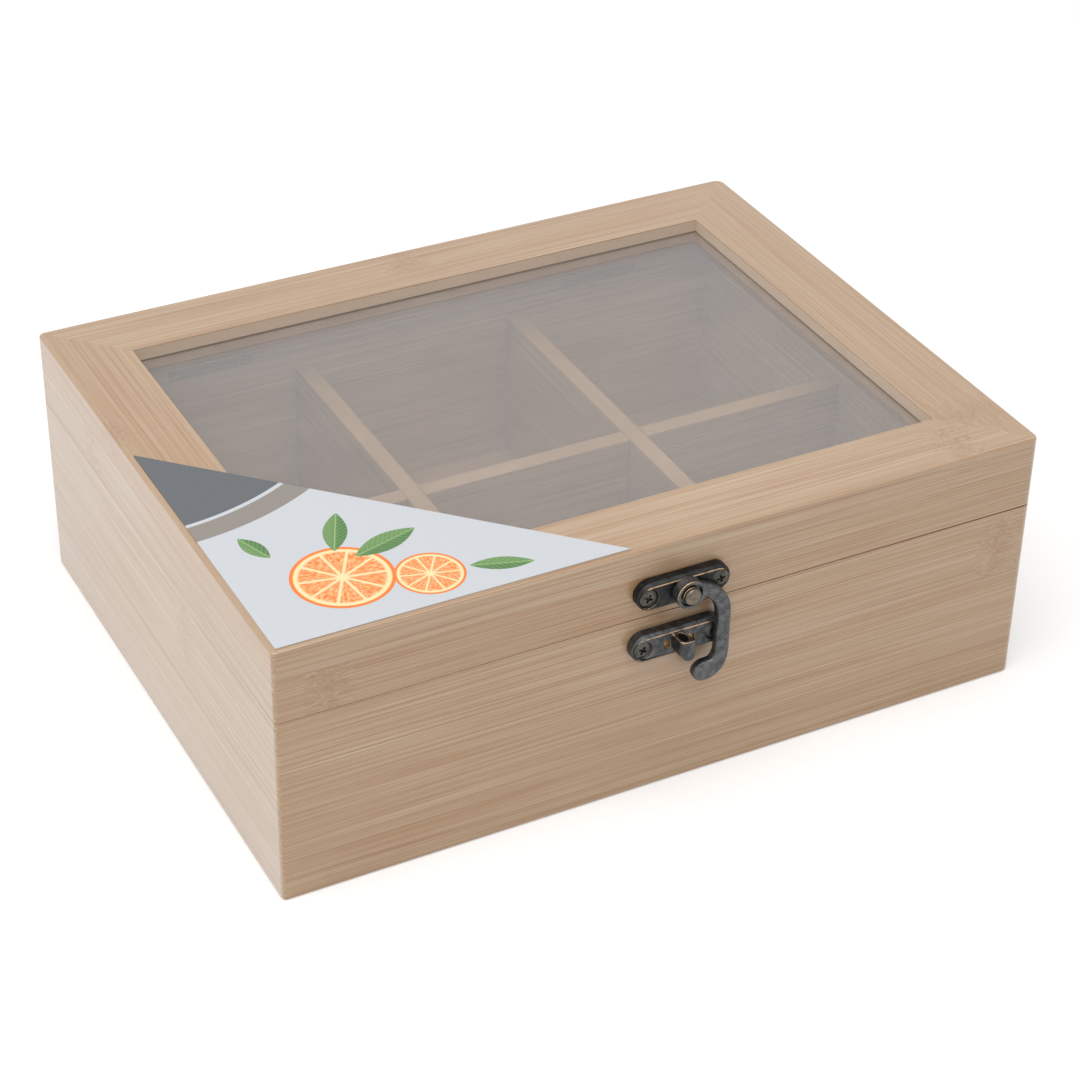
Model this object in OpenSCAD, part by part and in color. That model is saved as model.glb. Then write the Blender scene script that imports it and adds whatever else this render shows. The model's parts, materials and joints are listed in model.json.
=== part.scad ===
// Tea bag box with six compartments: a wooden box, a framed glass lid on two
// butt hinges, and a swing-hook latch on the front.
// Millimetres. X runs along the front, Y from front to back, Z up.
// The origin is the centre of the underside.

/* [Box] */
// Outside length of the box, side to side
box_l = 210; // [190:1:250]
// Outside depth of the box, front to back
box_d = 160; // [140:1:190]
// Height of the lower box, from the table to the seam under the lid
body_h = 53; // [52:1:80]
// Thickness of the wall boards
wall_t = 9; // [8:0.5:12]
// Radius of the upright outside corners, seen from above
corner_r = 3; // [1:0.5:5]
// Thickness of the bottom panel
floor_t = 4; // [3:0.5:6]
// Depth of the rebate that lets the bottom panel into the walls
floor_rebate = 4; // [2:0.5:5]

/* [Dividers] */
// Thickness of the divider strips
divider_t = 5; // [3:0.5:8]
// Distance from the seam down to the dividers' top edges
divider_drop = 5; // [3:0.5:12]
// Depth of the wall grooves that hold the dividers' ends
divider_groove = 2; // [1:0.5:3]

/* [Lid] */
// Height of the lid's skirt boards, under the top frame
skirt_h = 12; // [11:0.5:20]
// Thickness of the top frame's rails
rail_t = 8; // [7:0.5:12]
// Width of the top frame's rails, seen from above
rail_w = 19.5; // [15:0.5:28]
// Thickness of the glass pane
glass_t = 2; // [1.5:0.1:3]
// Distance from the rails' top face down to the glass
glass_drop = 3.5; // [2:0.1:3.8]
// Depth of the groove in the rails that holds the glass
glass_groove = 4; // [2:0.5:6]

/* [Hinges] */
// Width of each hinge
hinge_w = 24; // [18:1:36]
// Distance between the centres of the two hinges
hinge_spacing = 120; // [80:1:140]
// Thickness of the hinge leaves
leaf_t = 1.4; // [1:0.1:1.6]
// Radius of the hinge barrels
barrel_r = 2; // [1.8:0.1:2.4]
// Radius of the hinge pins
hinge_pin_r = 0.8; // [0.6:0.1:1]
// Distance of the hinge axis inside the box's back face
axis_inset = 1; // [0.8:0.1:1.2]
// Distance of the hinge screws from the middle of their hinge
hinge_screw_x = 7; // [5:0.5:7.5]

/* [Latch] */
// Length of the latch's two base plates
plate_l = 25.7; // [24:0.1:32]
// Height of the latch's two base plates
plate_h = 7.9; // [7.5:0.1:9]
// Thickness of the latch's two base plates
plate_t = 3.3; // [2.6:0.1:4]
// Distance of each base plate's centre line from the seam
plate_offset = 7.5; // [5.5:0.1:7.6]
// Place of the hook plate along the front, from the middle of the box
hook_plate_x = 0.5; // [-20:0.1:20]
// Place of the catch plate along the front, from the hook's pivot
catch_from_pivot = -1; // [-1.5:0.1:0]
// Distance between the two screws of a base plate
plate_screw_spacing = 20; // [18:0.1:20]
// Thickness of the swinging hook
hook_t = 2.8; // [2:0.1:3.5]
// Width of the hook's arm
hook_w = 3.8; // [3:0.1:4.2]
// Radius of the hook's hub
hub_r = 3.95; // [3:0.05:4.2]
// Radius of the rivet that the hook turns on
rivet_r = 1.4; // [1:0.1:1.6]
// Radius of the arm's bend, along its middle
bend_r = 9; // [8:0.1:10]
// Drop from the pivot to the middle of the hook's rounded tip
tip_drop = 24.1; // [23:0.1:26]
// Radius of the hook's rounded tip
tip_r = 2.9; // [2.2:0.1:3.2]
// Width of the catch post's neck
neck_w = 2.4; // [2:0.1:3]
// Height of the catch post's neck
neck_h = 3.4; // [2.6:0.1:3.6]
// Width of the catch post's head
post_head_w = 4.4; // [3.8:0.1:4.8]
// Height of the catch post's head
post_head_h = 5.3; // [4.6:0.1:6]

/* [Card] */
// Length of the card's leg along the front edge
card_x = 91; // [60:1:120]
// Length of the card's leg along the left edge
card_y = 90; // [60:1:120]
// Thickness of the card
card_t = 0.3; // [0.2:0.05:0.5]

/* [Hidden] */

bamboo = "#d2ab7c";
bamboo_pale = "#dcbd95";
bronze = "#4a4540";
glass_tint = [0.75, 0.8, 0.8, 0.35];
card_white = "#e8ecee";

// How far a cutting shape runs past the face that it opens
cut_past = 1;
// Clearance of the bottom panel and of the glass inside what holds it
panel_gap = 0.3;
// Clearance above the glass in its groove
glass_play = 0.2;
// Clearance of a divider in its groove, and of one divider in another's slot
divider_gap = 0.1;

inner_l = box_l - 2 * wall_t;
inner_d = box_d - 2 * wall_t;
divider_top = body_h - divider_drop;
cell_l = (inner_l - 2 * divider_t) / 3;
cross_x = (cell_l + divider_t) / 2;
// Half of the dividers' height, where each one passes through the other
lap_z = (floor_t + divider_top) / 2;
lid_top = body_h + skirt_h + rail_t;
rail_z = body_h + skirt_h;
glass_z = lid_top - glass_drop - glass_t;

// Both leaves of a hinge lie in one notch in the lid, above the box's rim
leaf_gap = 0.2;
notch_h = 2 * leaf_t + leaf_gap;
axis_y = box_d / 2 - axis_inset;
axis_z = body_h + notch_h / 2;
// The three knuckles: the middle one is the lid's and the outer two are the box's
knuckle_w = hinge_w / 3;
// Clearance of the barrel in the wood, of one knuckle beside the next,
// of the pin in the knuckles and of the leaves' ends in the notch
barrel_gap = 0.25;
knuckle_gap = 0.2;
pin_gap = 0.05;
leaf_side_gap = 0.2;
leaf_front_y = box_d / 2 - wall_t + panel_gap;
leaf_back_y = axis_y - barrel_r - knuckle_gap;
// The lid's lower rear edge is bevelled, so that it clears the rim as it turns:
// its upper corner stays nearer to the axis than the rim's surface is
rim_gap = 0.02;
rear_bevel_top = sqrt(pow(notch_h / 2, 2) - pow(axis_inset, 2)) - rim_gap;
rear_bevel = rear_bevel_top + notch_h / 2;

small_head_r = 1.7;
small_head_h = 0.9;
small_screw_r = 0.8;
small_screw_l = 7;
hinge_screw_y = (leaf_front_y + leaf_back_y) / 2;

plate_bevel_w = 0.8;
plate_bevel_t = 1;
head_r = 2.3;
head_h = 1.4;
screw_r = 1.1;
// How deep a plate's screws go into the wood
screw_bite = 6;
screw_l = plate_t + screw_bite;
// Clearances of a screw's head in its countersink and of its shank in its hole
head_gap = 0.2;
shank_gap = 0.05;
// Screw heads lie this far under the metal that they hold
head_sink = 0.1;

front_y = -box_d / 2;
pivot_x = hook_plate_x;
pivot_z = body_h + plate_offset;
catch_x = pivot_x + catch_from_pivot;
catch_z = body_h - plate_offset;
// Clearances of the hook from the plate behind it, from the rivet's head
// and around the rivet
hook_back_gap = 0.2;
hook_front_gap = 0.1;
rivet_gap = 0.05;
hook_y = front_y - plate_t - hook_back_gap;
hook_front_y = hook_y - hook_t;
rivet_head_r = 2.2;
rivet_head_t = 1.4;
rivet_tail_r = 2.2;
rivet_tail_t = 0.8;
// The arm's bend has its centre here, from the pivot: its middle line rises a
// little above the pivot
bend_rise = 0.3;
bend_x = 1;
bend_z = bend_rise - bend_r;
arm_in_x = bend_x + bend_r - hook_w / 2;
arm_out_x = bend_x + bend_r + hook_w / 2;
// The arm's outside turns towards the tip this far above the tip's middle
tip_slope_h = 5;
arm_end_z = tip_slope_h - tip_drop;
// The straight arm runs this far up into the bend, as a tongue this much slimmer
arm_tongue = 0.8;
tip_left_x = 5.3;
tip_right_x = 7.7;

post_front_gap = 1.1;
post_head_t = 1;
post_neck_t = hook_back_gap + hook_t + post_front_gap;
// The post stands this far above its plate's middle
post_rise = 0.3;
post_z = catch_z + post_rise;
scoop_r = 1.5;
window_w = 1.5;
window_h = 3;

card_inset = 1.5;

fine = 48;
small = 32;

// ---- Shared shapes ----

// Outside of the box seen from above, with its round corners
module box_plan() {
    square([box_l - 2 * corner_r, box_d], center = true);
    square([box_l, box_d - 2 * corner_r], center = true);
    for (sx = [-1, 1], sy = [-1, 1])
        translate([sx * (box_l / 2 - corner_r), sy * (box_d / 2 - corner_r)])
            circle(corner_r, $fn = fine);
}

// The part of the plan that belongs to one side, cut at 45 degrees at its ends
module mitre_wedge(side) {
    s = side == "front" || side == "left" ? -1 : 1;
    if (side == "front" || side == "back")
        polygon([[-box_l / 2, s * box_d / 2], [box_l / 2, s * box_d / 2],
                 [box_l / 2 - box_d / 2, 0], [-box_l / 2 + box_d / 2, 0]]);
    else
        polygon([[s * box_l / 2, -box_d / 2], [s * box_l / 2, box_d / 2],
                 [s * (box_l / 2 - box_d / 2), 0]]);
}

// One mitred board of a frame: how wide it is from above, and from where to where
module mitred_board(side, width, z_low, z_high) {
    translate([0, 0, z_low])
        linear_extrude(z_high - z_low)
            intersection() {
                difference() {
                    box_plan();
                    square([box_l - 2 * width, box_d - 2 * width], center = true);
                }
                mitre_wedge(side);
            }
}

// A cylinder along X, centred on the origin
module x_rod(r, length) {
    rotate([0, 90, 0]) cylinder(r = r, h = length, center = true, $fn = fine);
}

// A cylinder that runs from the origin towards the viewer in front of the box
module front_rod(r, length, sides = fine) {
    rotate([90, 0, 0]) cylinder(r = r, h = length, $fn = sides);
}

// A countersunk screw: its head's top is at the origin and its point is below
module wood_screw(r, length, top_r, top_h) {
    cross_l = 1.25 * top_r;
    cross_w = 0.3 * top_r;
    cross_h = 0.55 * top_h;
    difference() {
        union() {
            translate([0, 0, -top_h]) cylinder(r1 = r, r2 = top_r, h = top_h, $fn = small);
            translate([0, 0, r - length]) cylinder(r = r, h = length - r - top_h / 2, $fn = small);
            translate([0, 0, -length]) cylinder(r1 = r / 5, r2 = r, h = r, $fn = small);
        }
        for (a = [0, 90]) rotate([0, 0, a])
            translate([-cross_l / 2, -cross_w / 2, -cross_h]) cube([cross_l, cross_w, cross_h + cut_past]);
    }
}

// The hole for such a screw, from the metal's surface down
module screw_hole(r, length, top_r, top_h) {
    wide = top_r + head_gap;
    deep = top_h + head_sink;
    translate([0, 0, -deep]) cylinder(r1 = r + shank_gap, r2 = wide, h = deep, $fn = small);
    cylinder(r = wide, h = cut_past, $fn = small);
    translate([0, 0, -length - head_sink - shank_gap])
        cylinder(r = r + shank_gap, h = length + head_sink, $fn = small);
}

// ---- The box ----

module box_wall(side) {
    color(bamboo) difference() {
        union() {
            mitred_board(side, wall_t - floor_rebate, 0, floor_t);
            mitred_board(side, wall_t, floor_t, body_h);
        }
        divider_grooves();
        hinge_barrel_space();
        hinge_box_screw_places() screw_hole(small_screw_r, small_screw_l, small_head_r, small_head_h);
        catch_screw_places() screw_hole(screw_r, screw_l, head_r, head_h);
    }
}

// Grooves in the four walls for the ends of the dividers
module divider_grooves() {
    width = divider_t + divider_gap;
    depth = divider_groove + divider_gap;
    height = divider_top - floor_t + divider_gap;
    translate([0, 0, floor_t + height / 2]) {
        cube([inner_l + 2 * depth, width, height], center = true);
        for (s = [-1, 1]) translate([s * cross_x, 0, 0])
            cube([width, inner_d + 2 * depth, height], center = true);
    }
}

module bottom_panel() {
    grown = 2 * (floor_rebate - panel_gap);
    color(bamboo_pale) translate([0, 0, floor_t / 2])
        cube([inner_l + grown, inner_d + grown, floor_t], center = true);
}

module long_divider() {
    slot = divider_t + divider_gap;
    color(bamboo_pale) difference() {
        translate([-inner_l / 2 - divider_groove, -divider_t / 2, floor_t])
            cube([inner_l + 2 * divider_groove, divider_t, divider_top - floor_t]);
        for (s = [-1, 1]) translate([s * cross_x - slot / 2, -slot, lap_z])
            cube([slot, 2 * slot, divider_top - lap_z + cut_past]);
    }
}

module cross_divider(s) {
    slot = divider_t + divider_gap;
    color(bamboo_pale) translate([s * cross_x, 0, 0]) difference() {
        translate([-divider_t / 2, -inner_d / 2 - divider_groove, floor_t])
            cube([divider_t, inner_d + 2 * divider_groove, divider_top - floor_t]);
        translate([-slot, -slot / 2, floor_t - cut_past])
            cube([2 * slot, slot, lap_z - floor_t + cut_past]);
    }
}

// ---- The lid ----

module lid_skirt(side) {
    color(bamboo) difference() {
        mitred_board(side, wall_t, body_h, rail_z);
        hinge_notches();
        hinge_barrel_space();
        rear_bevel_space();
        hinge_lid_screw_places() screw_hole(small_screw_r, small_screw_l, small_head_r, small_head_h);
        hook_screw_places() screw_hole(screw_r, screw_l, head_r, head_h);
    }
}

// The bevel under the lid's rear edge runs over the whole length
module rear_bevel_space() {
    translate([-box_l, box_d / 2, body_h])
        rotate([90, 0, 90]) linear_extrude(2 * box_l)
            polygon([[-rear_bevel, 0], [-rear_bevel, -cut_past], [cut_past, -cut_past],
                     [cut_past, rear_bevel + cut_past]]);
}

module top_rail(side) {
    groove_l = box_l - 2 * (rail_w - glass_groove);
    groove_d = box_d - 2 * (rail_w - glass_groove);
    color(bamboo) difference() {
        mitred_board(side, rail_w, rail_z, lid_top);
        translate([-groove_l / 2, -groove_d / 2, glass_z])
            cube([groove_l, groove_d, glass_t + glass_play]);
    }
}

module glass_pane() {
    grown = 2 * (glass_groove - panel_gap);
    pane_l = box_l - 2 * rail_w + grown;
    pane_d = box_d - 2 * rail_w + grown;
    color(glass_tint) translate([-pane_l / 2, -pane_d / 2, glass_z]) cube([pane_l, pane_d, glass_t]);
}

// A three-cornered card that lies on the lid's front left corner
module label_card() {
    x = -box_l / 2 + card_inset;
    y = -box_d / 2 + card_inset;
    color(card_white) translate([x, y, lid_top])
        linear_extrude(card_t) polygon([[0, 0], [card_x, 0], [0, card_y]]);
}

// ---- Hinges ----

module at_hinges() {
    for (s = [-1, 1]) translate([s * hinge_spacing / 2, 0, 0]) children();
}

module hinge_notches() {
    width = hinge_w + 2 * leaf_side_gap;
    at_hinges() translate([-width / 2, box_d / 2 - wall_t - cut_past, body_h - cut_past])
        cube([width, wall_t + 2 * cut_past, notch_h + cut_past]);
}

module hinge_barrel_space() {
    at_hinges() translate([0, axis_y, axis_z])
        x_rod(barrel_r + barrel_gap, hinge_w + 2 * leaf_side_gap);
}

module knuckle_zone(outer) {
    if (outer)
        for (s = [-1, 1]) translate([s * knuckle_w, 0, 0])
            translate([-s * knuckle_gap / 4, 0, 0]) children();
    else
        children();
}

module hinge_leaf(outer) {
    low = outer ? -notch_h / 2 : leaf_gap / 2;
    width = outer ? knuckle_w - knuckle_gap / 2 : knuckle_w - knuckle_gap;
    difference() {
        union() {
            translate([-hinge_w / 2, leaf_front_y - axis_y, low])
                cube([hinge_w, leaf_back_y - leaf_front_y, leaf_t]);
            knuckle_zone(outer) {
                x_rod(barrel_r, width);
                translate([-width / 2, leaf_back_y - axis_y - cut_past, low])
                    cube([width, axis_y - leaf_back_y + cut_past, leaf_t]);
            }
        }
        x_rod(hinge_pin_r + pin_gap, hinge_w + 2 * cut_past);
    }
}

module hinge_box_leaf(s) {
    color(bronze) difference() {
        translate([s * hinge_spacing / 2, axis_y, axis_z]) hinge_leaf(true);
        hinge_box_screw_places() screw_hole(small_screw_r, small_screw_l, small_head_r, small_head_h);
    }
}

module hinge_lid_leaf(s) {
    color(bronze) difference() {
        translate([s * hinge_spacing / 2, axis_y, axis_z]) hinge_leaf(false);
        hinge_lid_screw_places() screw_hole(small_screw_r, small_screw_l, small_head_r, small_head_h);
    }
}

module hinge_pin(s) {
    color(bronze) translate([s * hinge_spacing / 2, axis_y, axis_z]) x_rod(hinge_pin_r, hinge_w);
}

module hinge_box_screw_places() {
    at_hinges() for (s = [-1, 1])
        translate([s * hinge_screw_x, hinge_screw_y, body_h + leaf_t]) children();
}

module hinge_lid_screw_places() {
    at_hinges() for (s = [-1, 1])
        translate([s * hinge_screw_x, hinge_screw_y, body_h + leaf_t + leaf_gap])
            rotate([180, 0, 0]) children();
}

module hinge_screw() {
    color(bronze) translate([0, 0, -head_sink])
        wood_screw(small_screw_r, small_screw_l, small_head_r, small_head_h);
}

// ---- Latch ----

// A base plate seen from the front, with its round ends
module plate_outline(shrink) {
    h = plate_h - 2 * shrink;
    square([plate_l - plate_h, h], center = true);
    for (s = [-1, 1]) translate([s * (plate_l - plate_h) / 2, 0]) circle(h / 2, $fn = fine);
}

// A base plate stands on the front of the box, with a smaller raised face
module base_plate() {
    step_t = plate_t - plate_bevel_t;
    rotate([90, 0, 0]) {
        linear_extrude(step_t) plate_outline(0);
        linear_extrude(step_t + plate_bevel_t / 2) plate_outline(plate_bevel_w / 2);
        linear_extrude(plate_t) plate_outline(plate_bevel_w);
    }
}

// Where a plate's two screws go in, with the screw's axis along Y
module plate_screw_places(x, z) {
    for (s = [-1, 1])
        translate([x + s * plate_screw_spacing / 2, front_y - plate_t, z]) rotate([90, 0, 0]) children();
}

module hook_screw_places() {
    plate_screw_places(pivot_x, pivot_z) children();
}

module catch_screw_places() {
    plate_screw_places(catch_x, catch_z) children();
}

module plate_screw() {
    color(bronze) translate([0, 0, -head_sink]) wood_screw(screw_r, screw_l, head_r, head_h);
}

module hook_plate() {
    tail_deep = rivet_tail_t + hook_back_gap;
    color(bronze) difference() {
        translate([pivot_x, front_y, pivot_z]) base_plate();
        hook_screw_places() screw_hole(screw_r, screw_l, head_r, head_h);
        translate([pivot_x, front_y + cut_past, pivot_z]) {
            front_rod(rivet_r + rivet_gap, plate_t + 2 * cut_past);
            front_rod(rivet_tail_r + rivet_gap, cut_past + tail_deep);
        }
    }
}

// The rivet is peened over behind the plate and has a low round head in front
module hook_rivet() {
    tail_y = front_y - hook_back_gap;
    head_y = hook_front_y - hook_front_gap;
    color(bronze) {
        translate([pivot_x, tail_y, pivot_z]) {
            front_rod(rivet_r, tail_y - head_y + rivet_head_t / 2);
            front_rod(rivet_tail_r, rivet_tail_t);
        }
        translate([pivot_x, head_y, pivot_z]) rotate([90, 0, 0]) {
            cylinder(r = rivet_head_r, h = rivet_head_t / 2, $fn = fine);
            cylinder(r1 = rivet_head_r, r2 = rivet_head_r / 2, h = rivet_head_t, $fn = fine);
        }
    }
}

// A flat shape in the plane of the box's front becomes a plate of the hook's thickness
module hook_slab() {
    linear_extrude(hook_t) children();
}

// The hook with the pivot at the origin: its hub, its bend, its arm running down
// into the rounded tip, and the tip itself
module hook_body() {
    tip_top = tip_r - tip_drop;
    hook_slab() circle(hub_r, $fn = fine);
    hook_slab() translate([bend_x, bend_z]) intersection() {
        difference() {
            circle(bend_r + hook_w / 2, $fn = 2 * fine);
            circle(bend_r - hook_w / 2, $fn = 2 * fine);
        }
        translate([-2 * bend_x, 0]) square(2 * bend_r);
    }
    hook_slab() polygon([[arm_in_x, bend_z], [arm_in_x + arm_tongue, bend_z + arm_tongue],
                         [arm_out_x - arm_tongue, bend_z + arm_tongue], [arm_out_x, bend_z],
                         [arm_out_x, arm_end_z], [tip_right_x + tip_r, -tip_drop],
                         [tip_left_x, -tip_drop], [tip_left_x, tip_top], [arm_in_x, tip_top]]);
    for (x = [tip_left_x, tip_right_x])
        hook_slab() translate([x, -tip_drop]) circle(tip_r, $fn = fine);
    hook_slab() translate([tip_left_x, -tip_drop - tip_r])
        square([tip_right_x - tip_left_x, tip_r * 1.5]);
}

module swing_hook() {
    color(bronze) difference() {
        translate([pivot_x, hook_y, pivot_z]) rotate([90, 0, 0]) hook_body();
        translate([pivot_x, front_y, pivot_z]) front_rod(rivet_r + rivet_gap, plate_t + 2 * hook_t);
    }
}

// The post's head seen from the front: square above and round below
module post_outline() {
    r = post_head_w / 2;
    translate([-r, r - post_head_h / 2]) square([post_head_w, post_head_h - r]);
    translate([0, r - post_head_h / 2]) circle(r, $fn = fine);
}

// The post that the hook holds: a neck with a wider head, scooped out on top
module catch_post() {
    depth = plate_t + post_neck_t;
    translate([catch_x, front_y, post_z]) rotate([90, 0, 0]) difference() {
        union() {
            translate([-neck_w / 2, -neck_h / 2, 0]) cube([neck_w, neck_h, depth + post_head_t / 2]);
            translate([0, 0, depth]) linear_extrude(post_head_t) post_outline();
        }
        translate([0, post_head_h / 2, plate_t + post_neck_t / 2])
            rotate([90, 0, 90]) cylinder(r = scoop_r, h = post_head_w, center = true, $fn = fine);
    }
}

module catch_plate() {
    window_x = (post_head_w + window_w) / 2;
    color(bronze) difference() {
        union() {
            translate([catch_x, front_y, catch_z]) base_plate();
            catch_post();
        }
        catch_screw_places() screw_hole(screw_r, screw_l, head_r, head_h);
        for (s = [-1, 1]) translate([catch_x + s * window_x, front_y - plate_t / 2, catch_z])
            cube([window_w, plate_t + 2 * cut_past, window_h], center = true);
    }
}

box_wall("front");  // front_wall
box_wall("back");  // back_wall
box_wall("left");  // left_wall
box_wall("right");  // right_wall
bottom_panel();
long_divider();
cross_divider(-1);  // cross_divider_left
cross_divider(1);  // cross_divider_right
lid_skirt("front");  // skirt_front
lid_skirt("back");  // skirt_back
lid_skirt("left");  // skirt_left
lid_skirt("right");  // skirt_right
top_rail("front");  // rail_front
top_rail("back");  // rail_back
top_rail("left");  // rail_left
top_rail("right");  // rail_right
glass_pane();
hinge_box_leaf(-1);  // hinge_box_leaf_left
hinge_box_leaf(1);  // hinge_box_leaf_right
hinge_lid_leaf(-1);  // hinge_lid_leaf_left
hinge_lid_leaf(1);  // hinge_lid_leaf_right
hinge_pin(-1);  // hinge_pin_left
hinge_pin(1);  // hinge_pin_right
hinge_box_screw_places() hinge_screw();  // hinge_box_screws
hinge_lid_screw_places() hinge_screw();  // hinge_lid_screws
hook_plate();
hook_screw_places() plate_screw();  // hook_plate_screws
hook_rivet();
swing_hook();
catch_plate();
catch_screw_places() plate_screw();  // catch_plate_screws
label_card();
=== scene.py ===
"""The finish of a wooden tea bag box with a glass lid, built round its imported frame."""

import json
import math

import bmesh
import bpy
from bpy.props import FloatProperty, FloatVectorProperty, IntProperty, PointerProperty
from bpy.types import Operator, Panel, PropertyGroup
from mathutils import Matrix, Vector


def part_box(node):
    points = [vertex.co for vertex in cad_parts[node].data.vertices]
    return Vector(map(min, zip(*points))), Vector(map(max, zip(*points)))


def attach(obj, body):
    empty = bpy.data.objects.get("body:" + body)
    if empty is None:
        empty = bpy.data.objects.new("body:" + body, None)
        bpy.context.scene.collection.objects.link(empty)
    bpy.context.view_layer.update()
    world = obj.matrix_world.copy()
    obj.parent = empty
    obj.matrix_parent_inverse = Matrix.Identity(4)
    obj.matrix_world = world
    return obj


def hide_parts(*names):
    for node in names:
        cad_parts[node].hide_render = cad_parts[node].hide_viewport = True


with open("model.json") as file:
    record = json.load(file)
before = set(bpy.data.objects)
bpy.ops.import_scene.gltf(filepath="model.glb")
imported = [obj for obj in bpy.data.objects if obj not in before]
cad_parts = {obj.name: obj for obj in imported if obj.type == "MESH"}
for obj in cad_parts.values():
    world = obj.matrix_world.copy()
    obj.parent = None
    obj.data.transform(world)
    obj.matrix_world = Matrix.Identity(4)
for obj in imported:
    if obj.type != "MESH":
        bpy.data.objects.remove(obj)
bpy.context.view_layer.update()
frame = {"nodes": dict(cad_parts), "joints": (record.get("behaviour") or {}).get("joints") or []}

bl_info = {
    "name": "Tea Bag Box",
    "version": (1, 0, 0),
    "blender": (4, 5, 0),
    "location": "View3D > Sidebar > Tea Box",
    "description": "Bamboo, glass, bronze and card finish for a tea bag box with a hinged lid",
    "category": "Object",
}

MM = 0.001
X_AXIS, Y_AXIS, Z_AXIS = (Vector(axis).freeze() for axis in ((1, 0, 0), (0, 1, 0), (0, 0, 1)))
SIDES = ("front", "back", "left", "right")
HANDS = ("left", "right")

# Points closer than this are one point, and coordinates closer than this are level
TOUCH = 0.002 * MM
# An edge is sharp where its faces turn by more than the first angle, and the faces are
# one flat face where they turn by less than the second
SHARP_ANGLE = math.radians(28)
FLAT_ANGLE = math.radians(0.5)


# ---- Places that the frame gives ----

BOX_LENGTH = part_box("right_wall")[1].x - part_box("left_wall")[0].x
BOX_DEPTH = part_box("back_wall")[1].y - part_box("front_wall")[0].y
FRONT_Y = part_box("front_wall")[0].y
SEAM_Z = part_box("front_wall")[1].z
RAIL_LOW_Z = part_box("rail_front")[0].z
LID_TOP_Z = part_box("rail_front")[1].z
GLASS_TOP_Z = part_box("glass_pane")[1].z
RAIL_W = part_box("rail_front")[1].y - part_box("rail_front")[0].y
HOOK_BACK_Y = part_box("swing_hook")[1].y
HOOK_FRONT_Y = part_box("swing_hook")[0].y
CARD_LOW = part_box("label_card")[0]
PIVOT = Vector(next(joint["pos_m"] for joint in frame["joints"] if joint["name"] == "hook_swing"))
# Radius of the upright corners in the frame
CORNER_R = 3 * MM
# The seam's edges lie at most this far from its height, and the rails' lips at most this
# far above the glass
NEAR_SEAM = 0.05 * MM
LIP_REACH = 0.3 * MM


def middle(node):
    """The middle of a node's box."""
    low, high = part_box(node)
    return (low + high) / 2


# ---- Settings ----


def srgb(red, green, blue):
    """A colour as Blender's shaders read it, from how it looks on a screen, 0 to 255."""
    def linear(value):
        share = value / 255
        return share / 12.92 if share <= 0.04045 else ((share + 0.055) / 1.055) ** 2.4
    return linear(red), linear(green), linear(blue)


def colour(name, description, red, green, blue):
    """A colour setting."""
    return FloatVectorProperty(name=name, description=description, subtype="COLOR", size=3,
                               min=0, max=1, default=srgb(red, green, blue))


def length(name, description, millimetres):
    """A length setting, given in millimetres and held in metres."""
    return FloatProperty(name=name, description=description, unit="LENGTH", min=0,
                         precision=5, default=millimetres * MM)


class BoardSettings(PropertyGroup):
    """Edges, strips and colours of the bamboo boards."""

    front_left_r: length("Front left corner", "Radius of the upright corner, from above", 1.2)
    front_right_r: length("Front right corner", "Radius of the upright corner, from above", 2.2)
    back_left_r: length("Back left corner", "Radius of the upright corner, from above", 1.8)
    back_right_r: length("Back right corner", "Radius of the upright corner, from above", 3.2)
    top_ease: length("Top edge", "Rounding of the lid's outer top edge", 0.6)
    opening_ease: length("Opening edge", "Rounding of the frame's edge round the glass", 0.45)
    seam_ease: length("Seam edge", "Rounding of the edges at the seam under the lid", 0.2)
    seam_ease_left: length("Seam edge, left", "Rounding of the left boards' edges at the seam",
                           0.14)
    seam_gap: length("Seam gap", "Open height of the seam at the right, where the lid gapes", 0.30)
    seam_gap_left: length("Seam gap, left",
                          "Open height of the seam on the left, where the lid fits close", 0.04)
    foot_ease: length("Foot edge", "Rounding of the box's lower edge", 0.6)
    joint_ease: length("Glued joint", "Rounding of the edges at the glued joints", 0.04)
    mitre_ease: length("Mitre", "Rounding of the edges at the mitred corners", 0)
    inner_ease: length("Inner edge", "Rounding of the other edges", 0.3)
    strip_w: length("Strip width", "Width of the bamboo strips that a wall is glued from", 20.4)
    strip_start: length("First strip", "Height of the lowest joint between two strips", 11.6)
    wall_pale: colour("Wall, pale", "Lighter colour of the walls", 179, 149, 117)
    wall_deep: colour("Wall, deep", "Darker colour of the walls", 166, 130, 92)
    end_pale: colour("End wall, pale", "Lighter colour of the left and right walls", 178, 154, 127)
    end_deep: colour("End wall, deep", "Darker colour of the left and right walls", 165, 136, 104)
    end_foot: colour("End wall, foot", "Colour near the lower edge of these walls", 182, 161, 142)
    rail_pale: colour("Frame, pale", "Lighter colour of the lid's top frame", 178, 149, 118)
    rail_deep: colour("Frame, deep", "Darker colour of the lid's top frame", 165, 130, 95)
    inside_pale: colour("Inside, pale", "Lighter colour of the dividers and the bottom",
                        176, 146, 116)
    inside_deep: colour("Inside, deep", "Darker colour of the dividers and the bottom",
                        160, 127, 97)
    # A paler colour painted on the frame's shaded faces round the glass, as light that falls short
    # there
    sill: colour("Sill", "Colour of the frame's faces round the glass", 214, 193, 173)
    ridge: colour("Ridge", "Colour of the dividers' top edges", 174, 141, 100)
    fibre: colour("Fibre", "Colour of the thin dark fibres", 138, 90, 50)


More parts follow.
